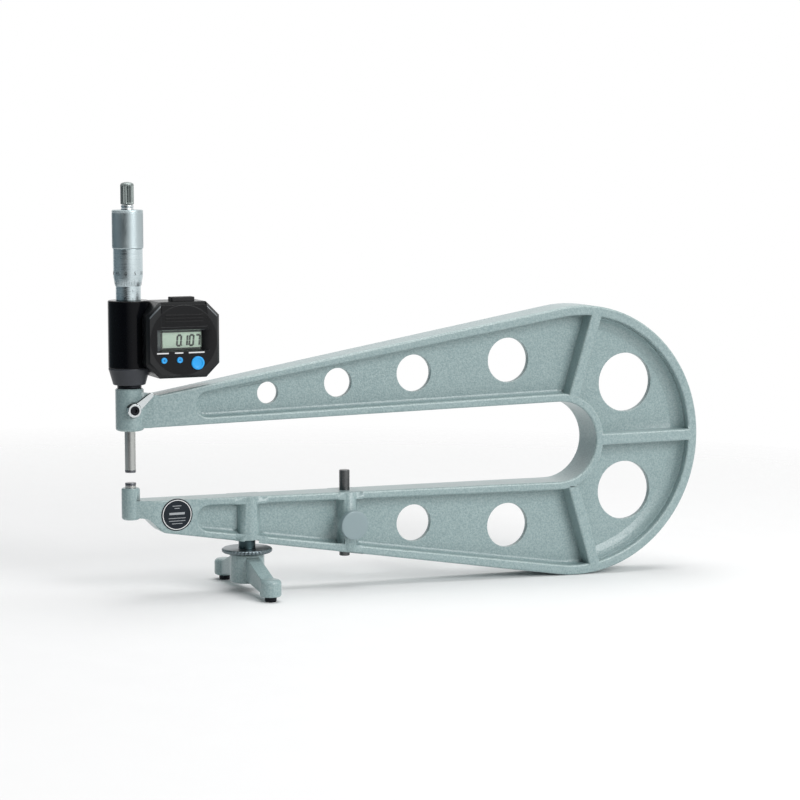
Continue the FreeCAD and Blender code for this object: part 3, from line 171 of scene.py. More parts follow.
def repaint(shape, index, chosen):
    """Gives the faces that a test of centre and normal picks another of the piece's finishes."""
    shape.normal_update()
    for face in shape.faces:
        if chosen(face.calc_center_median(), face.normal):
            face.material_index = index
    return shape


def finished(name, shape, body, finishes, stands_for=(), sharp=35.0):
    """Makes a shape one piece of the row, which rides on a body."""
    moved(shape, TO_ROW)
    mesh = bpy.data.meshes.new(name)
    shape.to_mesh(mesh)
    shape.free()
    for finish in finishes if isinstance(finishes, tuple) else (finishes,):
        mesh.materials.append(finish)
    mesh.shade_smooth()
    mesh.set_sharp_from_angle(angle=math.radians(sharp))
    piece = bpy.data.objects.new(name, mesh)
    bpy.context.scene.collection.objects.link(piece)
    smooth = piece.modifiers.new("flat_faces_stay_flat", "WEIGHTED_NORMAL")
    smooth.keep_sharp = True
    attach(piece, body)
    if stands_for:
        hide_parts(*stands_for)
    return piece


def letters(text, size, thickness):
    """Raised figures in the xy plane, centred."""
    curve = bpy.data.curves.new(f"figures_{text}", "FONT")
    curve.body = text
    curve.size = size
    curve.extrude = thickness / 2
    curve.align_x = "CENTER"
    curve.align_y = "CENTER"
    curve.resolution_u = 3
    holder = bpy.data.objects.new("figures", curve)
    mesh = bpy.data.meshes.new_from_object(holder)
    shape = bmesh.new()
    shape.from_mesh(mesh)
    bpy.data.objects.remove(holder)
    bpy.data.curves.remove(curve)
    bpy.data.meshes.remove(mesh)
    return tidy(shape, 0.0001)


def wrapped(shape, radius, angle, height):
    """Bends a flat shape, x along the girth and y upwards, round the spindle axis."""
    for vertex in shape.verts:
        reach, way = radius + vertex.co.z, angle + vertex.co.x / radius
        vertex.co = Vector((reach * math.cos(way), reach * math.sin(way), height + vertex.co.y))
    return shape


# Finishes

class Value:
    """A shader value; sums of values add their Math nodes."""

    def __init__(self, nodes, socket):
        self.nodes = nodes
        self.socket = socket

    def worked(self, operation, *terms):
        return self.nodes.node("ShaderNodeMath", {"operation": operation}, dict(enumerate(terms)))

    def larger(self, other):
        return self.worked("MAXIMUM", self, other)

    def __add__(self, other):
        return self.worked("ADD", self, other)

    def __radd__(self, other):
        return self.worked("ADD", other, self)

    def __sub__(self, other):
        return self.worked("SUBTRACT", self, other)

    def __rsub__(self, other):
        return self.worked("SUBTRACT", other, self)

    def __mul__(self, other):
        return self.worked("MULTIPLY", self, other)

    def __rmul__(self, other):
        return self.worked("MULTIPLY", other, self)


class Nodes:
    """The nodes of a finish or of the studio's world, with the shader that they feed."""

    def __init__(self, tree, shader):
        self.tree = tree
        self.surface = tree.nodes[shader]

    def node(self, kind, settings=None, inputs=None, outlet=0):
        made = self.tree.nodes.new(kind)
        for word, setting in (settings or {}).items():
            setattr(made, word, setting)
        for word, value in (inputs or {}).items():
            if isinstance(value, Value):
                self.tree.links.new(value.socket, made.inputs[word])
            else:
                made.inputs[word].default_value = value
        return Value(self, made.outputs[outlet])

    def feed(self, **values):
        for word, value in values.items():
            self.tree.links.new(value.socket, self.surface.inputs[word.replace("_", " ")])
        return self

    def spread(self, value, low, high, to_low, to_high):
        return self.node("ShaderNodeMapRange", {"clamp": True},
                         {"Value": value, "From Min": low, "From Max": high, "To Min": to_low,
                          "To Max": to_high}, 0)


class Finish(Nodes):
    """One of the object's finishes, built from nodes."""

    def __init__(self, name, **fixed):
        self.material = bpy.data.materials.new(name)
        self.material.use_nodes = True
        super().__init__(self.material.node_tree, "Principled BSDF")
        for word, value in fixed.items():
            self.surface.inputs[word.replace("_", " ")].default_value = value
        self.place = self.node("ShaderNodeTexCoord", outlet="Object")

    def stretched(self, x, y, z, turned=0.0):
        """The place on the piece, counted in grains per metre along each way."""
        return self.node("ShaderNodeMapping", {"vector_type": "POINT"},
                         {"Vector": self.place, "Rotation": (0.0, 0.0, turned), "Scale": (x, y, z)}, "Vector")

    def grain(self, scale, detail=2.0, rough=0.5, along=None):
        return self.node("ShaderNodeTexNoise", {"normalize": True},
                         {"Vector": along or self.place, "Scale": scale, "Detail": detail, "Roughness": rough},
                         0)

    def cells(self, scale):
        return self.node("ShaderNodeTexVoronoi", {"feature": "SMOOTH_F1"},
                         {"Vector": self.place, "Scale": scale, "Smoothness": 0.6}, "Distance")

    def distance_to(self, point):
        return self.node("ShaderNodeVectorMath", {"operation": "DISTANCE"}, {0: self.place, 1: point}, "Value")

    def mixed(self, amount, first, second, way="MIX"):
        return self.node("ShaderNodeMix", {"data_type": "RGBA", "blend_type": way},
                         {"Factor": amount, 6: first, 7: second}, 2)

    def tinted(self, amount, first, second):
        return self.mixed(amount, (*first, 1.0), (*second, 1.0))

    def relief(self, height, strength, depth):
        return self.node("ShaderNodeBump", {}, {"Height": height, "Strength": strength, "Distance": depth}, 0)


def srgb(red, green, blue):
    """A colour as it is seen on a screen, 0 to 255, turned linear."""
    return tuple(c / 12.92 if c <= 0.04045 else ((c + 0.055) / 1.055) ** 2.4
                 for c in (red / 255, green / 255, blue / 255))


def cast_enamel(name, first, second):
    """Thick sprayed enamel over a sand casting: a pebbled skin, a little uneven in tone."""
    made = Finish(name, IOR=1.5, Coat_Roughness=0.2)
    pebble = made.grain(950.0, 2.0, 0.6)
    dimple = made.cells(900.0)
    cloud = made.grain(24.0, 3.0, 0.6)
    speck = made.grain(2600.0, 1.0, 0.5)
    shade = made.spread(pebble * 0.7 + speck * 0.3, 0.38, 0.62, 0.0, 1.0)
    base = made.tinted(shade, srgb(*first), srgb(*second))
    drift = made.tinted(cloud, (0.90, 0.93, 0.93), (1.0, 1.0, 1.0))
    colour = made.mixed(1.0, base, drift, "MULTIPLY")
    skin = made.relief(pebble + 0.5 * dimple, 0.75, 0.00022)
    return made.feed(Base_Color=colour, Roughness=made.spread(speck, 0.3, 0.7, 0.28, 0.42),
                     Coat_Weight=made.spread(pebble, 0.4, 0.6, 0.2, 0.45), Normal=skin).material


def turned_metal(name, tone, second, rough, lines=5200.0, depth=0.000004):
    """Metal from the lathe: fine rings round the axis and a faint cloudiness."""
    made = Finish(name, Metallic=1.0)
    rings = made.grain(1.0, 2.0, 0.6, made.stretched(60.0, 60.0, lines))
    cloud = made.grain(90.0, 3.0, 0.6)
    colour = made.tinted(rings * 0.5 + cloud * 0.5, srgb(*tone), srgb(*second))
    roughness = made.spread(rings * 0.6 + cloud * 0.4, 0.35, 0.65, rough * 0.8, rough * 1.25)
    return made.feed(Base_Color=colour, Roughness=roughness,
                     Normal=made.relief(rings, 0.35, depth)).material


def grained_metal(name, tone, second, rough, scale=900.0):
    """Metal with a fine blasted or tumbled grain."""
    made = Finish(name, Metallic=1.0)
    grit = made.grain(scale, 3.0, 0.6)
    cloud = made.grain(70.0, 3.0, 0.6)
    colour = made.tinted(grit * 0.4 + cloud * 0.6, srgb(*tone), srgb(*second))
    roughness = made.spread(cloud * 0.5 + grit * 0.5, 0.35, 0.65, rough * 0.8, rough * 1.25)
    return made.feed(Base_Color=colour, Roughness=roughness,
                     Normal=made.relief(grit, 0.4, 0.000012)).material


def moulded(name, tone, second, rough, scale=2600.0, depth=0.00004, **fixed):
    """Moulded plastic or rubber with a spark eroded texture."""
    made = Finish(name, **fixed)
    spark = made.grain(scale, 2.0, 0.6)
    cloud = made.grain(45.0, 3.0, 0.6)
    colour = made.tinted(cloud * 0.6 + spark * 0.4, srgb(*tone), srgb(*second))
    roughness = made.spread(spark, 0.3, 0.7, rough * 0.85, rough * 1.15)
    return made.feed(Base_Color=colour, Roughness=roughness,
                     Normal=made.relief(spark, 0.35, depth)).material


def display_glass():
    """Thin clear cover with a few faint wiping marks."""
    made = Finish("display_window", IOR=1.46, Specular_IOR_Level=0.4)
    smear = made.grain(120.0, 3.0, 0.7, made.stretched(1.0, 1.0, 5.0, 0.4))
    colour = made.tinted(smear, srgb(206, 220, 208), srgb(222, 232, 224))
    return made.feed(Base_Color=colour, Roughness=made.spread(smear, 0.3, 0.7, 0.05, 0.14),
                     Alpha=made.spread(smear, 0.3, 0.7, 0.05, 0.09)).material


def liquid_crystal():
    """The grey green reflector behind the digits, with its fine rows."""
    made = Finish("liquid_crystal", Specular_IOR_Level=0.25)
    rows = made.node("ShaderNodeTexWave", {"wave_type": "BANDS", "bands_direction": "Z"},
                     {"Vector": made.place, "Scale": 1500.0, "Distortion": 0.3, "Detail": 1.0}, 1)
    cloud = made.grain(60.0, 3.0, 0.6)
    base = made.tinted(cloud, srgb(186, 208, 190), srgb(204, 224, 206))
    colour = made.mixed(rows * 0.08, base, made.tinted(cloud, srgb(156, 176, 160), srgb(166, 186, 170)))
    return made.feed(Base_Color=colour, Roughness=made.spread(cloud, 0.3, 0.7, 0.35, 0.5)).material


def printed(name, tone, second, rough=0.5):
    """Filled or printed ink with soft unevenness."""
    made = Finish(name, Specular_IOR_Level=0.3)
    fleck = made.grain(3200.0, 2.0, 0.6)
    return made.feed(Base_Color=made.tinted(fleck, srgb(*tone), srgb(*second)),
                     Roughness=made.spread(fleck, 0.3, 0.7, rough * 0.85, rough * 1.15)).material


def circuit():
    """Green lacquer over copper tracks."""
    made = Finish("circuit_lacquer")
    tracks = made.node("ShaderNodeTexBrick", {"offset": 0.5},
                       {"Vector": made.stretched(1.0, 1.0, 1.0), "Scale": 420.0, "Mortar Size": 0.03,
                        "Color1": (*srgb(28, 92, 56), 1.0), "Color2": (*srgb(34, 104, 62), 1.0),
                        "Mortar": (*srgb(70, 140, 88), 1.0)}, "Color")
    cloud = made.grain(200.0, 2.0, 0.6)
    return made.feed(Base_Color=tracks, Roughness=made.spread(cloud, 0.3, 0.7, 0.3, 0.45)).material


ENAMEL = cast_enamel("cast_enamel", (134, 155, 157), (160, 179, 179))
# Paler enamel for the upper rims of the casting: a painted highlight
ENAMEL_PAINTED_HIGHLIGHT = cast_enamel("cast_enamel_painted_highlight", (142, 161, 161), (172, 190, 189))
SATIN_CHROME = turned_metal("satin_chrome", (178, 192, 198), (204, 215, 216), 0.26)
KNURL_CHROME = grained_metal("knurled_chrome", (158, 172, 176), (184, 194, 196), 0.36)
POLISHED = turned_metal("polished_chrome", (196, 202, 204), (216, 221, 222), 0.14, 2400.0, 0.000002)
GROUND_STEEL = turned_metal("ground_steel", (160, 162, 160), (190, 192, 189), 0.22, 7000.0)
DARK_STEEL = turned_metal("dark_steel", (76, 77, 78), (104, 106, 106), 0.3, 4200.0)
CARBIDE = turned_metal("carbide", (92, 94, 98), (112, 114, 118), 0.22, 8000.0)
BRASS = turned_metal("brass", (176, 148, 88), (196, 170, 108), 0.3)
KNOB_STEEL = turned_metal("ratchet_steel", (118, 127, 125), (146, 153, 151), 0.4, 3200.0)
DISC_STEEL = turned_metal("turned_steel", (96, 108, 112), (126, 136, 140), 0.32, 3000.0, 0.000006)
STEM_STEEL = turned_metal("blackened_stem", (46, 62, 66), (74, 90, 94), 0.34, 2600.0, 0.000006)
# Paler grey for the lit slopes round the display window: a painted highlight
RECESS_PAINTED_HIGHLIGHT = moulded("recess_painted_highlight", (62, 66, 70), (78, 82, 86), 0.22, 3400.0, 0.000006, IOR=1.7)
# Lighter, glossier grey for the bezel's upper front rims: a painted highlight on the black case
CASE_PAINTED_HIGHLIGHT = moulded("case_edge_painted_highlight", (96, 102, 106), (120, 126, 130), 0.24, 2800.0, 0.00001, IOR=1.7)
PLATE_INK = printed("plate_ink", (150, 154, 158), (176, 180, 183))
BLACKENED = grained_metal("blackened_steel", (26, 27, 30), (44, 46, 50), 0.34)
GLOSS_BLACK = moulded("gloss_black", (7, 8, 11), (11, 12, 16), 0.16, 900.0, 0.000006,
                      Specular_IOR_Level=0.12)
CONE_PAINT = moulded("cone_paint", (50, 52, 57), (62, 65, 70), 0.4, 2200.0, 0.00003,
                     Specular_IOR_Level=0.3)
CASE_BLACK = moulded("case_black", (17, 19, 21), (25, 27, 29), 0.3, 2800.0, 0.00002,
                     Specular_IOR_Level=0.3)
DIAL_BLACK = moulded("dial_black", (7, 8, 10), (13, 14, 17), 0.28, 3400.0, 0.00001,
                     Specular_IOR_Level=0.2)
RUBBER = moulded("cap_rubber", (18, 19, 21), (28, 29, 31), 0.6, 2400.0, 0.00005, Specular_IOR_Level=0.3)
BUTTON_BLUE = moulded("button_blue", (22, 158, 236), (40, 176, 248), 0.3, 2600.0, 0.00002)
DOT_BLUE = moulded("dot_blue", (16, 92, 150), (28, 108, 168), 0.4, 2600.0, 0.00002)
PLATE_BLACK = grained_metal("plate_anodised", (34, 38, 42), (46, 51, 56), 0.4, 2200.0)
KNOB_PAINT = moulded("knob_paint", (130, 148, 152), (144, 162, 166), 0.36, 2000.0, 0.00002, Coat_Weight=0.2)
WHITE_INK = printed("white_ink", (222, 224, 224), (240, 240, 240))
BLACK_INK = printed("black_ink", (20, 21, 24), (34, 35, 38), 0.45)
DIGIT_INK = printed("digit_ink", (16, 22, 20), (26, 32, 30), 0.4)
WINDOW = display_glass()
CRYSTAL = liquid_crystal()
BOARD = circuit()

# The CAD nodes that stay as they are, mostly inside the head, get their finishes
for finish, nodes in ((GROUND_STEEL, ("inner_sleeve", "adjusting_nut", "ratchet_screw", "ratchet_spring",
                                      "battery")),
                      (BRASS, ("encoder_rotor", "battery_contact", "rod_pad")),
                      (BOARD, ("encoder_stator", "circuit_board")), (BLACKENED, ("case_screws",)),
                      (CRYSTAL, ("lcd_panel",)), (WINDOW, ("lcd_window",))):
    for node in nodes:
        for material_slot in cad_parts[node].material_slots:
            material_slot.material = finish

# Name plate: a bare black disc with a silver ring and plain bars
plate_x, plate_z = centre_of("name_plate")
back, front = depths("name_plate")
where = at(plate_x, 0, plate_z) @ FACING_FRONT
PLATE_R = 9.5
disc = soften(lathe([(0, back), (PLATE_R, back), (PLATE_R, front), (0, front)]), 0.15)
finished("plate_disc", moved(disc, where), "frame", PLATE_BLACK, ("name_plate",))
ring = lathe([(8.35, front - 0.2), (8.35, front + 0.02), (8.8, front + 0.02), (8.8, front - 0.2)])
finished("plate_ring", moved(ring, where), "frame", WHITE_INK)
bars = bmesh.new()
for z, wide, tall in ((5.2, 5.4, 0.4), (3.8, 3.0, 0.4), (0.7, 9.4, 1.3), (-2.0, 10.4, 0.35), (-3.6, 10.0, 0.35),
                      (-5.2, 6.4, 0.35)):
    block(bars, at(plate_x, -front, plate_z + z), wide, 0.05, tall)
finished("plate_bars", soften(bars, 0.015, 1), "frame", PLATE_INK)

# The cast frame, with the rounded rims of a casting. Under the middle the rims stop beside the columns of the
# foot and the rod, where the casting is cut across so that no rim runs on.
COLUMNS = ((61.0, 82.0), (126.0, 143.0))


def upright(first, second):
    """One of two faces looks to the front or back, and the other stands square to it."""
    lying, standing = sorted((abs(first.y), abs(second.y)), reverse=True)
    return lying > 0.985 and standing < 0.4


def on_flanges(middle, first, second):
    beside_plate = math.hypot(middle.x - plate_x, middle.z - plate_z) > 10.2
    on_column = middle.z < 0 and any(low < middle.x < high for low, high in COLUMNS)
    return upright(first, second) and middle.x > 14 and beside_plate and not on_column and abs(middle.y) > 3


def round_holes(middle, first, second):
    return upright(first, second) and abs(middle.y) < 3


casting = merged_solid("u_frame", 0.3)
for side_x in (*COLUMNS[0], *COLUMNS[1]):
    bmesh.ops.bisect_plane(casting, geom=casting.verts[:] + casting.edges[:] + casting.faces[:],
                           plane_co=(side_x, 0, 0), plane_no=(1, 0, 0))
# Rims and hole edges whose bevel faces look upward are painted paler, as a painted highlight
round_rims(casting, 1.25, on_flanges)
finished("cast_frame", round_rims(casting, 0.4, round_holes, 2), "frame", (ENAMEL, ENAMEL_PAINTED_HIGHLIGHT),
         ("u_frame",), 40.0)

# The bay floors of the round end swell towards the outer flange; their ends lie hidden in the leaning ribs
END_X, SWELL_ANGLE = 288.0, math.radians(162)
for name, side in (("front", 1), ("back", -1)):
    swell = bmesh.new()
    points = [swell.verts.new((radius, 0.0, height)) for radius, height in (
        (79.0, 1.0), (79.0, 7.0), (77.6, 7.0), (76.6, 4.6), (74.6, 2.9), (70.5, 1.7), (70.5, 1.0))]
    section = swell.faces.new(points)
    bmesh.ops.spin(swell, geom=[section, *section.edges, *points], cent=(0, 0, 0), axis=(0, 0, 1),
                   angle=SWELL_ANGLE, steps=81)
    moved(tidy(swell), at(END_X) @ turn(side * math.pi / 2, "X") @ turn(-SWELL_ANGLE / 2))
    finished(f"{name}_bay_swell", swell, "frame", ENAMEL)

# Anvil, spindle and their carbide tips
SPINDLE_R, TIP_GROOVE_R = 3.175, 3.12
low, high = heights("anvil")
finished("anvil_stud", soften(lathe([(0, low), (SPINDLE_R, low), (SPINDLE_R, high), (0, high)]), 0.15),
         "frame", GROUND_STEEL, ("anvil",))
low, high = heights("anvil_tip")
finished("anvil_face", soften(lathe([(0, low), (TIP_GROOVE_R, low), (TIP_GROOVE_R, low + 0.1),
                                     (SPINDLE_R, low + 0.15), (SPINDLE_R, high), (0, high)]), 0.12),
         "frame", CARBIDE, ("anvil_tip",))
low, high = heights("spindle_tip")
finished("spindle_face", soften(lathe([(0, low), (SPINDLE_R, low), (SPINDLE_R, high - 0.15),
                                       (TIP_GROOVE_R, high - 0.1), (TIP_GROOVE_R, high), (0, high)]), 0.12),
         "spindle", CARBIDE, ("spindle_tip",))
low, high = heights("spindle")
THREAD_LOW, THREAD_TURNS = 100.2, 70
thread = [(3.5 - 0.28 * (step % 2), THREAD_LOW + 0.25 * step) for step in range(2 * THREAD_TURNS)]
finished("spindle_rod", lathe([(0, low), (SPINDLE_R, low), (SPINDLE_R, 98.0), (2.775, 98.0), (2.775, 100.0),
                               *thread, (3.3, 136.2), (3.3, 137.1), (2.7, high), (1.55, high),
                               (1.55, 139.1), (0, 139.1)], 64),
         "spindle", GROUND_STEEL, ("spindle",), 50.0)

# Fixed parts of the head: stem, cone, barrel and graduated sleeve
low, high = heights("head_stem")
finished("head_stem_tube", soften(lathe([
    (3.225, low), (6, low), (6, 44.2), (6.6, 44.3), (7, 44.7), (7, 46.0), (6.7, 46.38), (6, 46.38), (6, high),
    (3.225, high)]), 0.1), "frame", BLACKENED, ("head_stem",))
low, high = heights("mounting_cone")
finished("head_cone", soften(lathe([(6.03, low), (9.2, low), (9.45, low + 0.6), (11.62, high - 1.5),
                                    (11.9, high - 1.0), (11.9, high), (6.03, high)]), 0.25, 3),
         "frame", CONE_PAINT, ("mounting_cone",))
low, high = heights("head_barrel")
finished("barrel_shell", soften(lathe([
    (6.03, low), (11.6, low), (11.75, low + 0.12), (11.9, low + 0.35), (11.9, high - 0.5), (11.4, high),
    (6.3, high), (6.3, high - 2), (10.3, high - 2), (10.3, low + 2), (6.03, low + 2)], 128), 0.2, 3),
         "frame", GLOSS_BLACK, ("head_barrel",))
SLEEVE_R = 7.2
sleeve_low, sleeve_high = heights("outer_sleeve")
finished("scale_sleeve", soften(lathe([
    (6.3, sleeve_low), (SLEEVE_R, sleeve_low), (SLEEVE_R, sleeve_high), (6.3, sleeve_high)], 128), 0.25, 3),
         "frame", SATIN_CHROME, ("outer_sleeve",))

scale_angle = READING_SIDE - math.radians(3)
marks = bmesh.new()
MARK = 0.03


def sleeve_mark(wide, tall, x, y):
    bar = bmesh.new()
    bmesh.ops.create_grid(bar, x_segments=6, y_segments=2, size=0.5,
                          matrix=at(x, y, 0) @ Matrix.Diagonal((wide, tall, 1.0, 1.0)))
    bmesh.ops.solidify(bar, geom=bar.faces, thickness=MARK)
    join(marks, wrapped(tidy(bar), SLEEVE_R + MARK / 2, scale_angle, sleeve_low))


sleeve_mark(0.16, sleeve_high - sleeve_low - 1.2, 0.0, (sleeve_high - sleeve_low) / 2 + 0.4)
for step in range(1, 56):
    long = 2.6 if step % 10 == 0 else 1.9 if step % 2 == 0 else 1.3
    sleeve_mark(long, 0.13, (long / 2 if step % 2 == 0 else -long / 2), 0.5 + step * 0.5)
for step in range(0, 30, 5):
    join(marks, wrapped(letters(str(step), 1.9, MARK), SLEEVE_R + MARK / 2, scale_angle + 0.52,
                        sleeve_low + 0.6 + step))
finished("sleeve_scale", marks, "frame", BLACK_INK)

# Thimble with its graduated bevel, knurled grip and ratchet
edge, skirt_top = heights("thimble")[0], heights("thimble_grip")[0]
grip_top = heights("thimble_grip")[1]
RIM_R, SKIRT_R, BEVEL_LEN = 7.45, 8.5, 5.5
finished("thimble_skirt", soften(lathe([
    (7.3, edge), (RIM_R, edge), (SKIRT_R, edge + BEVEL_LEN), (SKIRT_R, skirt_top - 0.35),
    (8.28, skirt_top - 0.1), (8.2, skirt_top - 0.05), (8.2, grip_top - 0.8), (2.75, grip_top - 0.8),
    (3.32, 137.12), (7.3, 137.12)], 144), 0.07), "thimble", SATIN_CHROME, ("thimble",))

marks = bmesh.new()
ZERO_LINE = READING_SIDE - math.radians(1.5)
slope = math.atan2(SKIRT_R - RIM_R, BEVEL_LEN)
DIVISIONS = 50
for step in range(DIVISIONS):
    angle = ZERO_LINE + step * math.tau / DIVISIONS
    long = 3.4 if step % 5 == 0 else 2.3
    middle = edge + 0.35 + long / 2
    reach = RIM_R + (middle - edge) * math.tan(slope) + 0.005
    block(marks, turn(angle) @ at(reach, 0, middle) @ turn(slope, "Y"), MARK, 0.15, long)
for step in range(0, DIVISIONS, 5):
    angle = ZERO_LINE + step * math.tau / DIVISIONS
    join(marks, wrapped(letters(str(step), 2.9, MARK), SKIRT_R + MARK / 2, angle, edge + 7.4))
finished("thimble_graduations", marks, "thimble", BLACK_INK)

# Diamond knurl: two families of grooves cross on the grip
ROUNDS, ROWS, GROOVES, GROOVE_DEPTH, GRIP_R = 280, 84, 70, 0.11, 9.0
knurl_low, knurl_high = skirt_top + 0.5, grip_top - 1.5


def knurl_depth(angle, height):
    if not knurl_low - 0.01 < height < knurl_high + 0.01:
        return 0.0
    girth = angle * GROOVES
    rise = (height - knurl_low) / GRIP_R * GROOVES
    cut = 1 - min(abs(math.sin((girth + rise) / 2)), abs(math.sin((girth - rise) / 2)))
    fade = min(1.0, (height - knurl_low) / 0.4, (knurl_high - height) / 0.4)
    return GROOVE_DEPTH * cut ** 2 * max(0.0, fade)


rows = [(GRIP_R - GROOVE_DEPTH * 0.2, knurl_low + (knurl_high - knurl_low) * row / ROWS)
        for row in range(ROWS + 1)]
grip = lathe([(8.25, skirt_top), (8.8, skirt_top), (8.93, skirt_top + 0.3), *rows, (8.8, knurl_high + 0.15),
              (8.8, knurl_high + 0.3), (GRIP_R, knurl_high + 0.45), (GRIP_R, grip_top - 0.5), (8.5, grip_top),
              (4.0, grip_top), (4.0, grip_top - 0.75), (8.25, grip_top - 0.75)], ROUNDS)
finished("knurled_grip", scalloped(grip, 8.9, knurl_depth), "thimble", KNURL_CHROME,
         ("thimble_grip",), 60.0)

low, high = heights("ratchet_base")
finished("ratchet_foot", soften(lathe([
    (1.55, low), (3.7, low), (3.7, grip_top + 0.7), (3.45, grip_top + 0.9), (3.45, grip_top + 1.4),
    (3.7, grip_top + 1.6), (3.7, high - 0.4), (3.3, high), (1.55, high)]), 0.08),
         "thimble", POLISHED, ("ratchet_base",))
low, high = heights("ratchet_knob")
RIBS, RIB_DEPTH = 15, 0.6


def rib_depth(angle, height):
    wave = 0.5 - 0.5 * math.cos(angle * RIBS)
    fade = min(1.0, (height - low - 0.4) / 0.5, (high - 1.5 - height) / 0.5)
    return RIB_DEPTH * wave * max(0.0, fade)


knob_rows = [(3.85, low + 0.45 + (high - low - 2.0) * row / 24) for row in range(25)]
knob = lathe([(1.55, low), (3.45, low), (3.75, low + 0.2), *knob_rows, (3.72, high - 1.3), (3.35, high - 0.75),
              (2.6, high - 0.42), (1.2, high - 0.08), (0, high), (0, low + 8), (2.4, low + 8), (2.4, low + 3),
              (1.55, low + 3)], RIBS * 8)
finished("ribbed_ratchet_knob", scalloped(knob, 3.8, rib_depth), "ratchet", KNOB_STEEL,
         ("ratchet_knob",), 50.0)

# Spindle clamp
# The lever's upward-facing faces take blackened steel: a painted dark reflection of the barrel above the
# polished lever
lever = repaint(from_solid("clamp_lever", 0.3, 3), 1,
                lambda centre, normal: normal.z > 0.35 and abs(normal.y) < 0.8)
finished("clamp_arm", lever, "spindle_clamp", (POLISHED, BLACKENED), ("clamp_lever",), 40.0)
finished("clamp_socket_screw", from_solid("clamp_screw", 0.15), "spindle_clamp", BLACKENED,
         ("clamp_screw",), 40.0)

# Display unit
CONE_TOP = heights("head_barrel")[0]
DIAL_X, DIAL_Z = 26.6, CONE_TOP + 16.5


def from_dial_middle(point):
    return math.hypot(point.x - DIAL_X, point.z - DIAL_Z)


def on_bezel_front(middle, first, second):
    return min(first.y, second.y) < -0.98 and from_dial_middle(middle) > 21 and middle.y < -18


def on_recess(centre, normal):
    """The sloping faces round the display, but for the right one, which lies in the shade; these lit faces are
    painted a paler grey, as a painted highlight.
    """
    return 0.3 < abs(normal.y) < 0.95 and normal.x > -0.2 and from_dial_middle(centre) < 18.5


# The bezel's upward-facing front rims take the lighter rim finish, a painted highlight
bezel = round_rims(merged_solid("display_bezel"), 0.45, on_bezel_front)
finished("bezel_shell", bezel, "frame", (CASE_BLACK, CASE_PAINTED_HIGHLIGHT), ("display_bezel",), 40.0)
finished("back_shell", from_solid("display_case", 0.3, 2), "frame", CASE_BLACK,
         ("display_case",), 40.0)
finished("dial_face", repaint(from_solid("dial_plate", 0.12, 2), 1, on_recess), "frame",
         (DIAL_BLACK, RECESS_PAINTED_HIGHLIGHT), ("dial_plate",), 40.0)
finished("battery_door_plate", from_solid("battery_cover", 0.12, 2), "battery_door", DIAL_BLACK,
         ("battery_cover",), 40.0)
finished("socket_cap", from_solid("connector_cap", 0.4, 3), "connector_cap", RUBBER,
         ("connector_cap",), 40.0)

for name, x, z, radius in (("preset", 14.5, 5.1, 1.7), ("hold", 23.9, 5.1, 1.7), ("zero", 34.8, 3.1, 3.85)):
    back, front = depths(f"{name}_button")
    body_front = front - 3.9
    dish = 0.16 * radius
    where = at(x, 0, CONE_TOP + z) @ FACING_FRONT
    crown = soften(lathe([
        (0, back), (0.7, back), (0.7, body_front), (radius + 0.9, body_front), (radius + 0.9, body_front + 0.8),
        (radius, body_front + 0.8), (radius, front - 0.12), (radius - 0.25, front), (radius * 0.72, front),
        (radius * 0.6, front - dish * 0.5), (0, front - dish * 0.6)], 64), 0.05)
    finished(f"{name}_key", moved(crown, where), name, BUTTON_BLUE, (f"{name}_button",))
    if radius < 2:
        dot = soften(lathe([(0, front - 0.4), (0.55, front - 0.4), (0.55, front - 0.1), (0, front - 0.08)], 32),
                     0.04)
        finished(f"{name}_key_dot", moved(dot, where), name, DOT_BLUE)

# Printed face of the dial: plain bars over the keys, and the mask and digits behind the window
print_ink = bmesh.new()
for x, z, wide in ((13.9, 9.15, 7.0), (23.6, 9.15, 5.0), (34.2, 9.15, 9.6)):
    block(print_ink, at(x, -20.0, CONE_TOP + z), wide, 0.06, 0.75)
finished("key_bars", soften(print_ink, 0.02), "frame", WHITE_INK)

PANEL = depths("lcd_panel")[1]
mask = bmesh.new()
for x, z, wide, tall in ((25.8, 11.2, 25.8, 1.4), (25.8, 21.4, 25.8, 1.4), (13.9, 16.3, 2.0, 10.0),
                         (38.85, 16.3, 0.5, 10.0)):
    block(mask, at(x, -PANEL - 0.012, CONE_TOP + z), wide, 0.02, tall)
finished("display_mask", mask, "frame", DIAL_BLACK)

SEGMENTS = {"0": "abcdef", "1": "bc", "7": "abc"}
SEGMENT_PLACES = {"a": (0, 1, True), "b": (1, 0.5, False), "c": (1, -0.5, False), "d": (0, -1, True),
                  "e": (-1, -0.5, False), "f": (-1, 0.5, False)}
digits = bmesh.new()
DIGIT_W, DIGIT_H, STROKE, LEAN = 2.3, 5.9, 1.2, 0.09
FIRST_DIGIT_X, DIGIT_PITCH, POINT_X = 24.9, 3.75, 26.5
INK_DEPTH = -PANEL - 0.014
for place, figure in enumerate("0107"):
    middle = FIRST_DIGIT_X + place * DIGIT_PITCH
    for letter in SEGMENTS[figure]:
        side, level, lying = SEGMENT_PLACES[letter]
        x, z = side * DIGIT_W / 2, level * DIGIT_H / 2
        wide, tall = (DIGIT_W - STROKE * 0.2, STROKE) if lying else (STROKE, DIGIT_H / 2 - STROKE * 0.15)
        block(digits, at(middle + x + LEAN * z, INK_DEPTH, CONE_TOP + 16.0 + z)
              @ turn(0.0 if lying else math.atan(LEAN), "Y"), wide, 0.02, tall)
block(digits, at(POINT_X, INK_DEPTH, CONE_TOP + 13.1), 0.6, 0.02, 0.6)
finished("display_digits", soften(digits, 0.008, 1), "frame", DIGIT_INK)

dial_rim = lathe([(19.85, 19.96), (20.1, 19.99), (20.2, 19.94), (20.2, 19.0), (19.85, 19.0)], 160)
finished("dial_rim", moved(dial_rim, at(DIAL_X, 0, DIAL_Z) @ FACING_FRONT), "frame", CASE_BLACK)

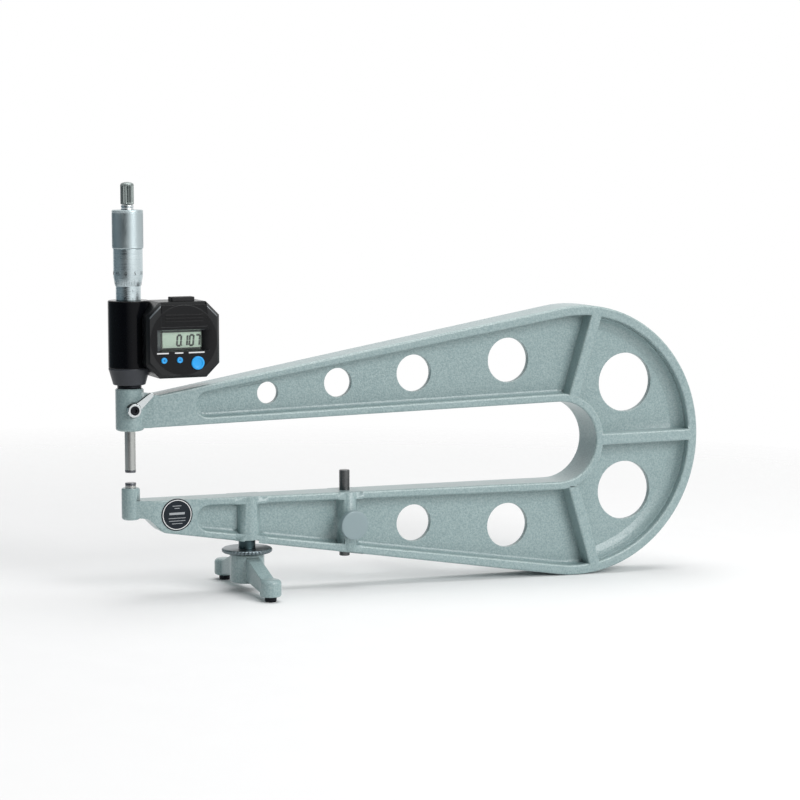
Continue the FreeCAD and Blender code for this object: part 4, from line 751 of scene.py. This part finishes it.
# Levelling foot: the screw with its notched disc, washer, retainer, cross bar and two tips
FOOT_X, PAD_REACH = 71.5, 39.1
disc_low, disc_high = heights("foot_washer")[1] + 0.03, heights("foot_washer")[1] + 2.53
screw_low, screw_high = heights("foot_screw")
thread = [(5.0 - 0.3 * (step % 2), disc_high + 7.4 + 0.5 * step) for step in range(40)]
screw = lathe([(0, screw_low), (4, screw_low), (4, disc_low), (14.2, disc_low), (15, disc_low + 0.7),
               (15, disc_high - 0.6), (14.3, disc_high), (5.3, disc_high), (5.0, disc_high + 0.4), *thread,
               (4.3, screw_high), (0, screw_high)], 200)
NOTCHES, NOTCH_DEPTH = 40, 0.5
scalloped(screw, 14.5, lambda angle, height: NOTCH_DEPTH * max(0.0, math.cos(angle * NOTCHES)) ** 3)
screw = repaint(soften(screw, 0.12, 2, 40.0), 1,
                lambda centre, normal: math.hypot(centre.x, centre.y) < 5.4 and centre.z > disc_high - 0.2)
finished("foot_screw_disc", moved(screw, at(FOOT_X)), "foot_adjuster", (DISC_STEEL, STEM_STEEL),
         ("foot_screw",), 40.0)
low, high = heights("foot_washer")
finished("thrust_washer", moved(soften(lathe([(4.03, low), (10, low), (10, high), (4.03, high)]), 0.12),
                                at(FOOT_X)), "foot_carrier", BRASS, ("foot_washer",))
low, high = heights("foot_retainer")
finished("retainer_screw", moved(soften(lathe([
    (0, low + 0.5), (1.2, low + 0.5), (1.2, low), (6, low), (6, low + 1.6), (2, low + 1.6), (2, high),
    (0, high)]), 0.12), at(FOOT_X)), "foot_adjuster", BLACKENED, ("foot_retainer",))
low, high = heights("foot_bracket")
hub_low = high - 16.9
pad_low, pad_high = low, low + 10.0
casting = lathe([(4.05, hub_low + 2.6), (6.3, hub_low + 2.6), (6.3, hub_low), (9.0, hub_low),
                 (9.9, hub_low + 0.35), (10.25, hub_low + 1.2), (10.25, high - 0.7), (9.7, high), (4.05, high)])
for side in (-1, 1):
    arm = bmesh.new()
    outline = [arm.verts.new((-4.15, side * y, z)) for y, z in (
        (6.0, high - 1.0), (6.0, hub_low + 1.0), (12.7, hub_low + 1.5), (34.1, pad_low + 1.0),
        (36.6, pad_low + 1.0), (36.6, pad_high - 0.6), (34.1, pad_high - 0.6), (9.6, high - 1.0))]
    bends = [outline[2], outline[6], outline[7]]
    face = arm.faces.new(outline)
    grown = bmesh.ops.extrude_face_region(arm, geom=[face])["geom"]
    bmesh.ops.translate(arm, vec=(8.3, 0, 0), verts=[v for v in grown if isinstance(v, bmesh.types.BMVert)])
    bmesh.ops.recalc_face_normals(arm, faces=arm.faces)
    across = [e for v in bends for e in v.link_edges if abs(e.verts[0].co.x - e.verts[1].co.x) > 8]
    bmesh.ops.bevel(arm, geom=across, offset=3.2, offset_type="OFFSET", affect="EDGES", segments=5, profile=0.5,
                    material=-1, clamp_overlap=True)
    join(casting, soften(arm, 1.3, 3, 50.0))
    pad = lathe([(2.55, pad_low), (5.1, pad_low), (5.95, pad_low + 0.35), (6.28, pad_low + 1.2),
                 (6.28, pad_high - 2.2), (6.0, pad_high - 1.1), (5.2, pad_high - 0.35), (4.0, pad_high),
                 (0, pad_high), (0, pad_low + 4.05), (2.55, pad_low + 4.05)], 72)
    join(casting, moved(pad, at(0, side * PAD_REACH)))
finished("foot_bar_casting", moved(casting, at(FOOT_X)), "foot_bar", ENAMEL,
         ("foot_bracket",), 40.0)
low, high = heights("foot_tip_front")
for name, side in (("front", -1), ("back", 1)):
    tip = soften(lathe([(0, low), (3.1, low), (3.5, low + 0.5), (3.5, low + 3), (2.5, low + 3), (2.5, high),
                        (0, high)], 64), 0.12)
    finished(f"{name}_tip", moved(tip, at(FOOT_X, side * PAD_REACH)), "foot_bar", BLACKENED,
             (f"foot_tip_{name}",))

# Work support rod and the knob of its clamp
ROD_X, ROD_R = 134.2, 3.15
low, high = heights("support_rod")
rod = soften(lathe([(0, low), (ROD_R, low), (ROD_R, high), (0, high)]), 0.35, 3)
finished("rest_rod", moved(rod, at(ROD_X)), "work_rod", DARK_STEEL, ("support_rod",))
knob_x, knob_z = centre_of("rod_knob")
back, front = depths("rod_knob")
rest = front - 4.2
knob = lathe([(0, back), (2.5, back), (2.5, rest), (8.0, rest), (8.6, rest + 0.35), (8.75, rest + 0.9),
              (8.75, front - 0.7), (8.55, front - 0.25), (8.1, front - 0.03), (6.5, front),
              (0, front - 0.12)], 120)
finished("rod_clamp_knob", moved(soften(knob, 0.08, 2, 40.0), at(knob_x, 0, knob_z) @ FACING_FRONT),
         "rod_clamp", KNOB_PAINT, ("rod_knob",), 45.0)


def facing(thing, place, aim):
    """Puts a camera or a lamp in its place, turned towards a point."""
    thing.location = place
    thing.rotation_euler = (Vector(aim) - Vector(place)).to_track_quat("-Z", "Y").to_euler()
    bpy.context.scene.collection.objects.link(thing)


# Camera at the photograph's viewing angle
camera_data = bpy.data.cameras.new("camera")
camera_data.sensor_width = 36.0
camera_data.lens = 109.0
camera_data.clip_end = 20.0
camera = bpy.data.objects.new("camera", camera_data)
facing(camera, (-0.6014, -1.3344, 0.2760), (-0.00944, 0, 0.11415))
bpy.context.scene.camera = camera

# White studio: the world is white where it is seen or mirrored, and softer as a light
world = bpy.data.worlds.new("studio")
bpy.context.scene.world = world
world.use_nodes = True
sky = Nodes(world.node_tree, "Background")
sky.surface.inputs["Color"].default_value = (1, 1, 1, 1)
in_camera, in_mirror, in_glass = (sky.node("ShaderNodeLightPath", outlet=f"Is {kind} Ray")
                                  for kind in ("Camera", "Glossy", "Transmission"))
sky.feed(Strength=sky.spread(in_camera.larger(in_mirror).larger(in_glass), 0.0, 1.0, 0.32, 1.0))


def softbox(name, place, power):
    lamp = bpy.data.lights.new(name, "AREA")
    lamp.shape = "SQUARE"
    lamp.size = 1.3
    lamp.energy = power
    facing(bpy.data.objects.new(name, lamp), place, (0, 0, 0.1))


softbox("key", (0.75, -1.85, 1.1), 31.0)
softbox("top", (0.15, 0.1, 1.7), 17.0)


def studio_card(name, shape, finish):
    """The floor or a card of the studio, not part of the object."""
    mesh = bpy.data.meshes.new(name)
    shape.to_mesh(mesh)
    shape.free()
    mesh.materials.append(finish.material)
    card = bpy.data.objects.new(name, mesh)
    bpy.context.scene.collection.objects.link(card)


# Floor through the foot's tips and the underside of the round end, which thins out far from the part
CONTACT_TILT = math.radians(1.33)
floor = bmesh.new()
bmesh.ops.create_circle(floor, cap_ends=True, segments=96, radius=0.9)
moved(floor, at(-0.1088, 0, 0.0049) @ turn(CONTACT_TILT, "Y"))
paper = Finish("floor_paper", Specular_IOR_Level=0.1)
fibre = paper.grain(40.0)
paper.feed(Base_Color=paper.tinted(fibre, (0.93, 0.93, 0.93), (0.95, 0.95, 0.95)),
           Roughness=paper.spread(fibre, 0.3, 0.7, 0.7, 0.8),
           Alpha=paper.spread(paper.distance_to((0.0, 0.0, 0.0)), 0.3, 0.85, 1.0, 0.0))
studio_card("floor", floor, paper)

# Dark curtain to the left, which the camera does not see: it draws the dark streak down the polished parts
CURTAIN_R = 1.9
curtain = bmesh.new()
ends = [curtain.verts.new((CURTAIN_R, 0.0, height)) for height in (-0.3, 1.1)]
hem = curtain.edges.new(ends)
bmesh.ops.spin(curtain, geom=[hem, *ends], cent=(0, 0, 0), axis=(0, 0, 1), angle=math.radians(-150), steps=30)
moved(curtain, turn(math.radians(-94)))
cloth = Finish("dark_cloth", Specular_IOR_Level=0.1)
weave = cloth.grain(300.0)


def reach_from(side):
    """Distance from the point of the curtain at an angle round the middle, in degrees."""
    return cloth.distance_to((CURTAIN_R * math.cos(math.radians(side)),
                              CURTAIN_R * math.sin(math.radians(side)), 0.3))


shade = cloth.spread(reach_from(-134), 0.35, 1.5, 0.0, 1.0)
thickness = cloth.spread(reach_from(-94), 0.1, 1.1, 0.0, 1.0)
in_camera = cloth.node("ShaderNodeLightPath", outlet="Is Camera Ray")
cloth.feed(Base_Color=cloth.tinted(shade + 0.04 * weave, (0.025, 0.03, 0.035), (0.30, 0.38, 0.43)),
           Roughness=cloth.spread(weave, 0.3, 0.7, 0.7, 0.8), Alpha=thickness * (1.0 - in_camera))
studio_card("dark_curtain", curtain, cloth)

bpy.context.scene.view_settings.view_transform = "Standard"
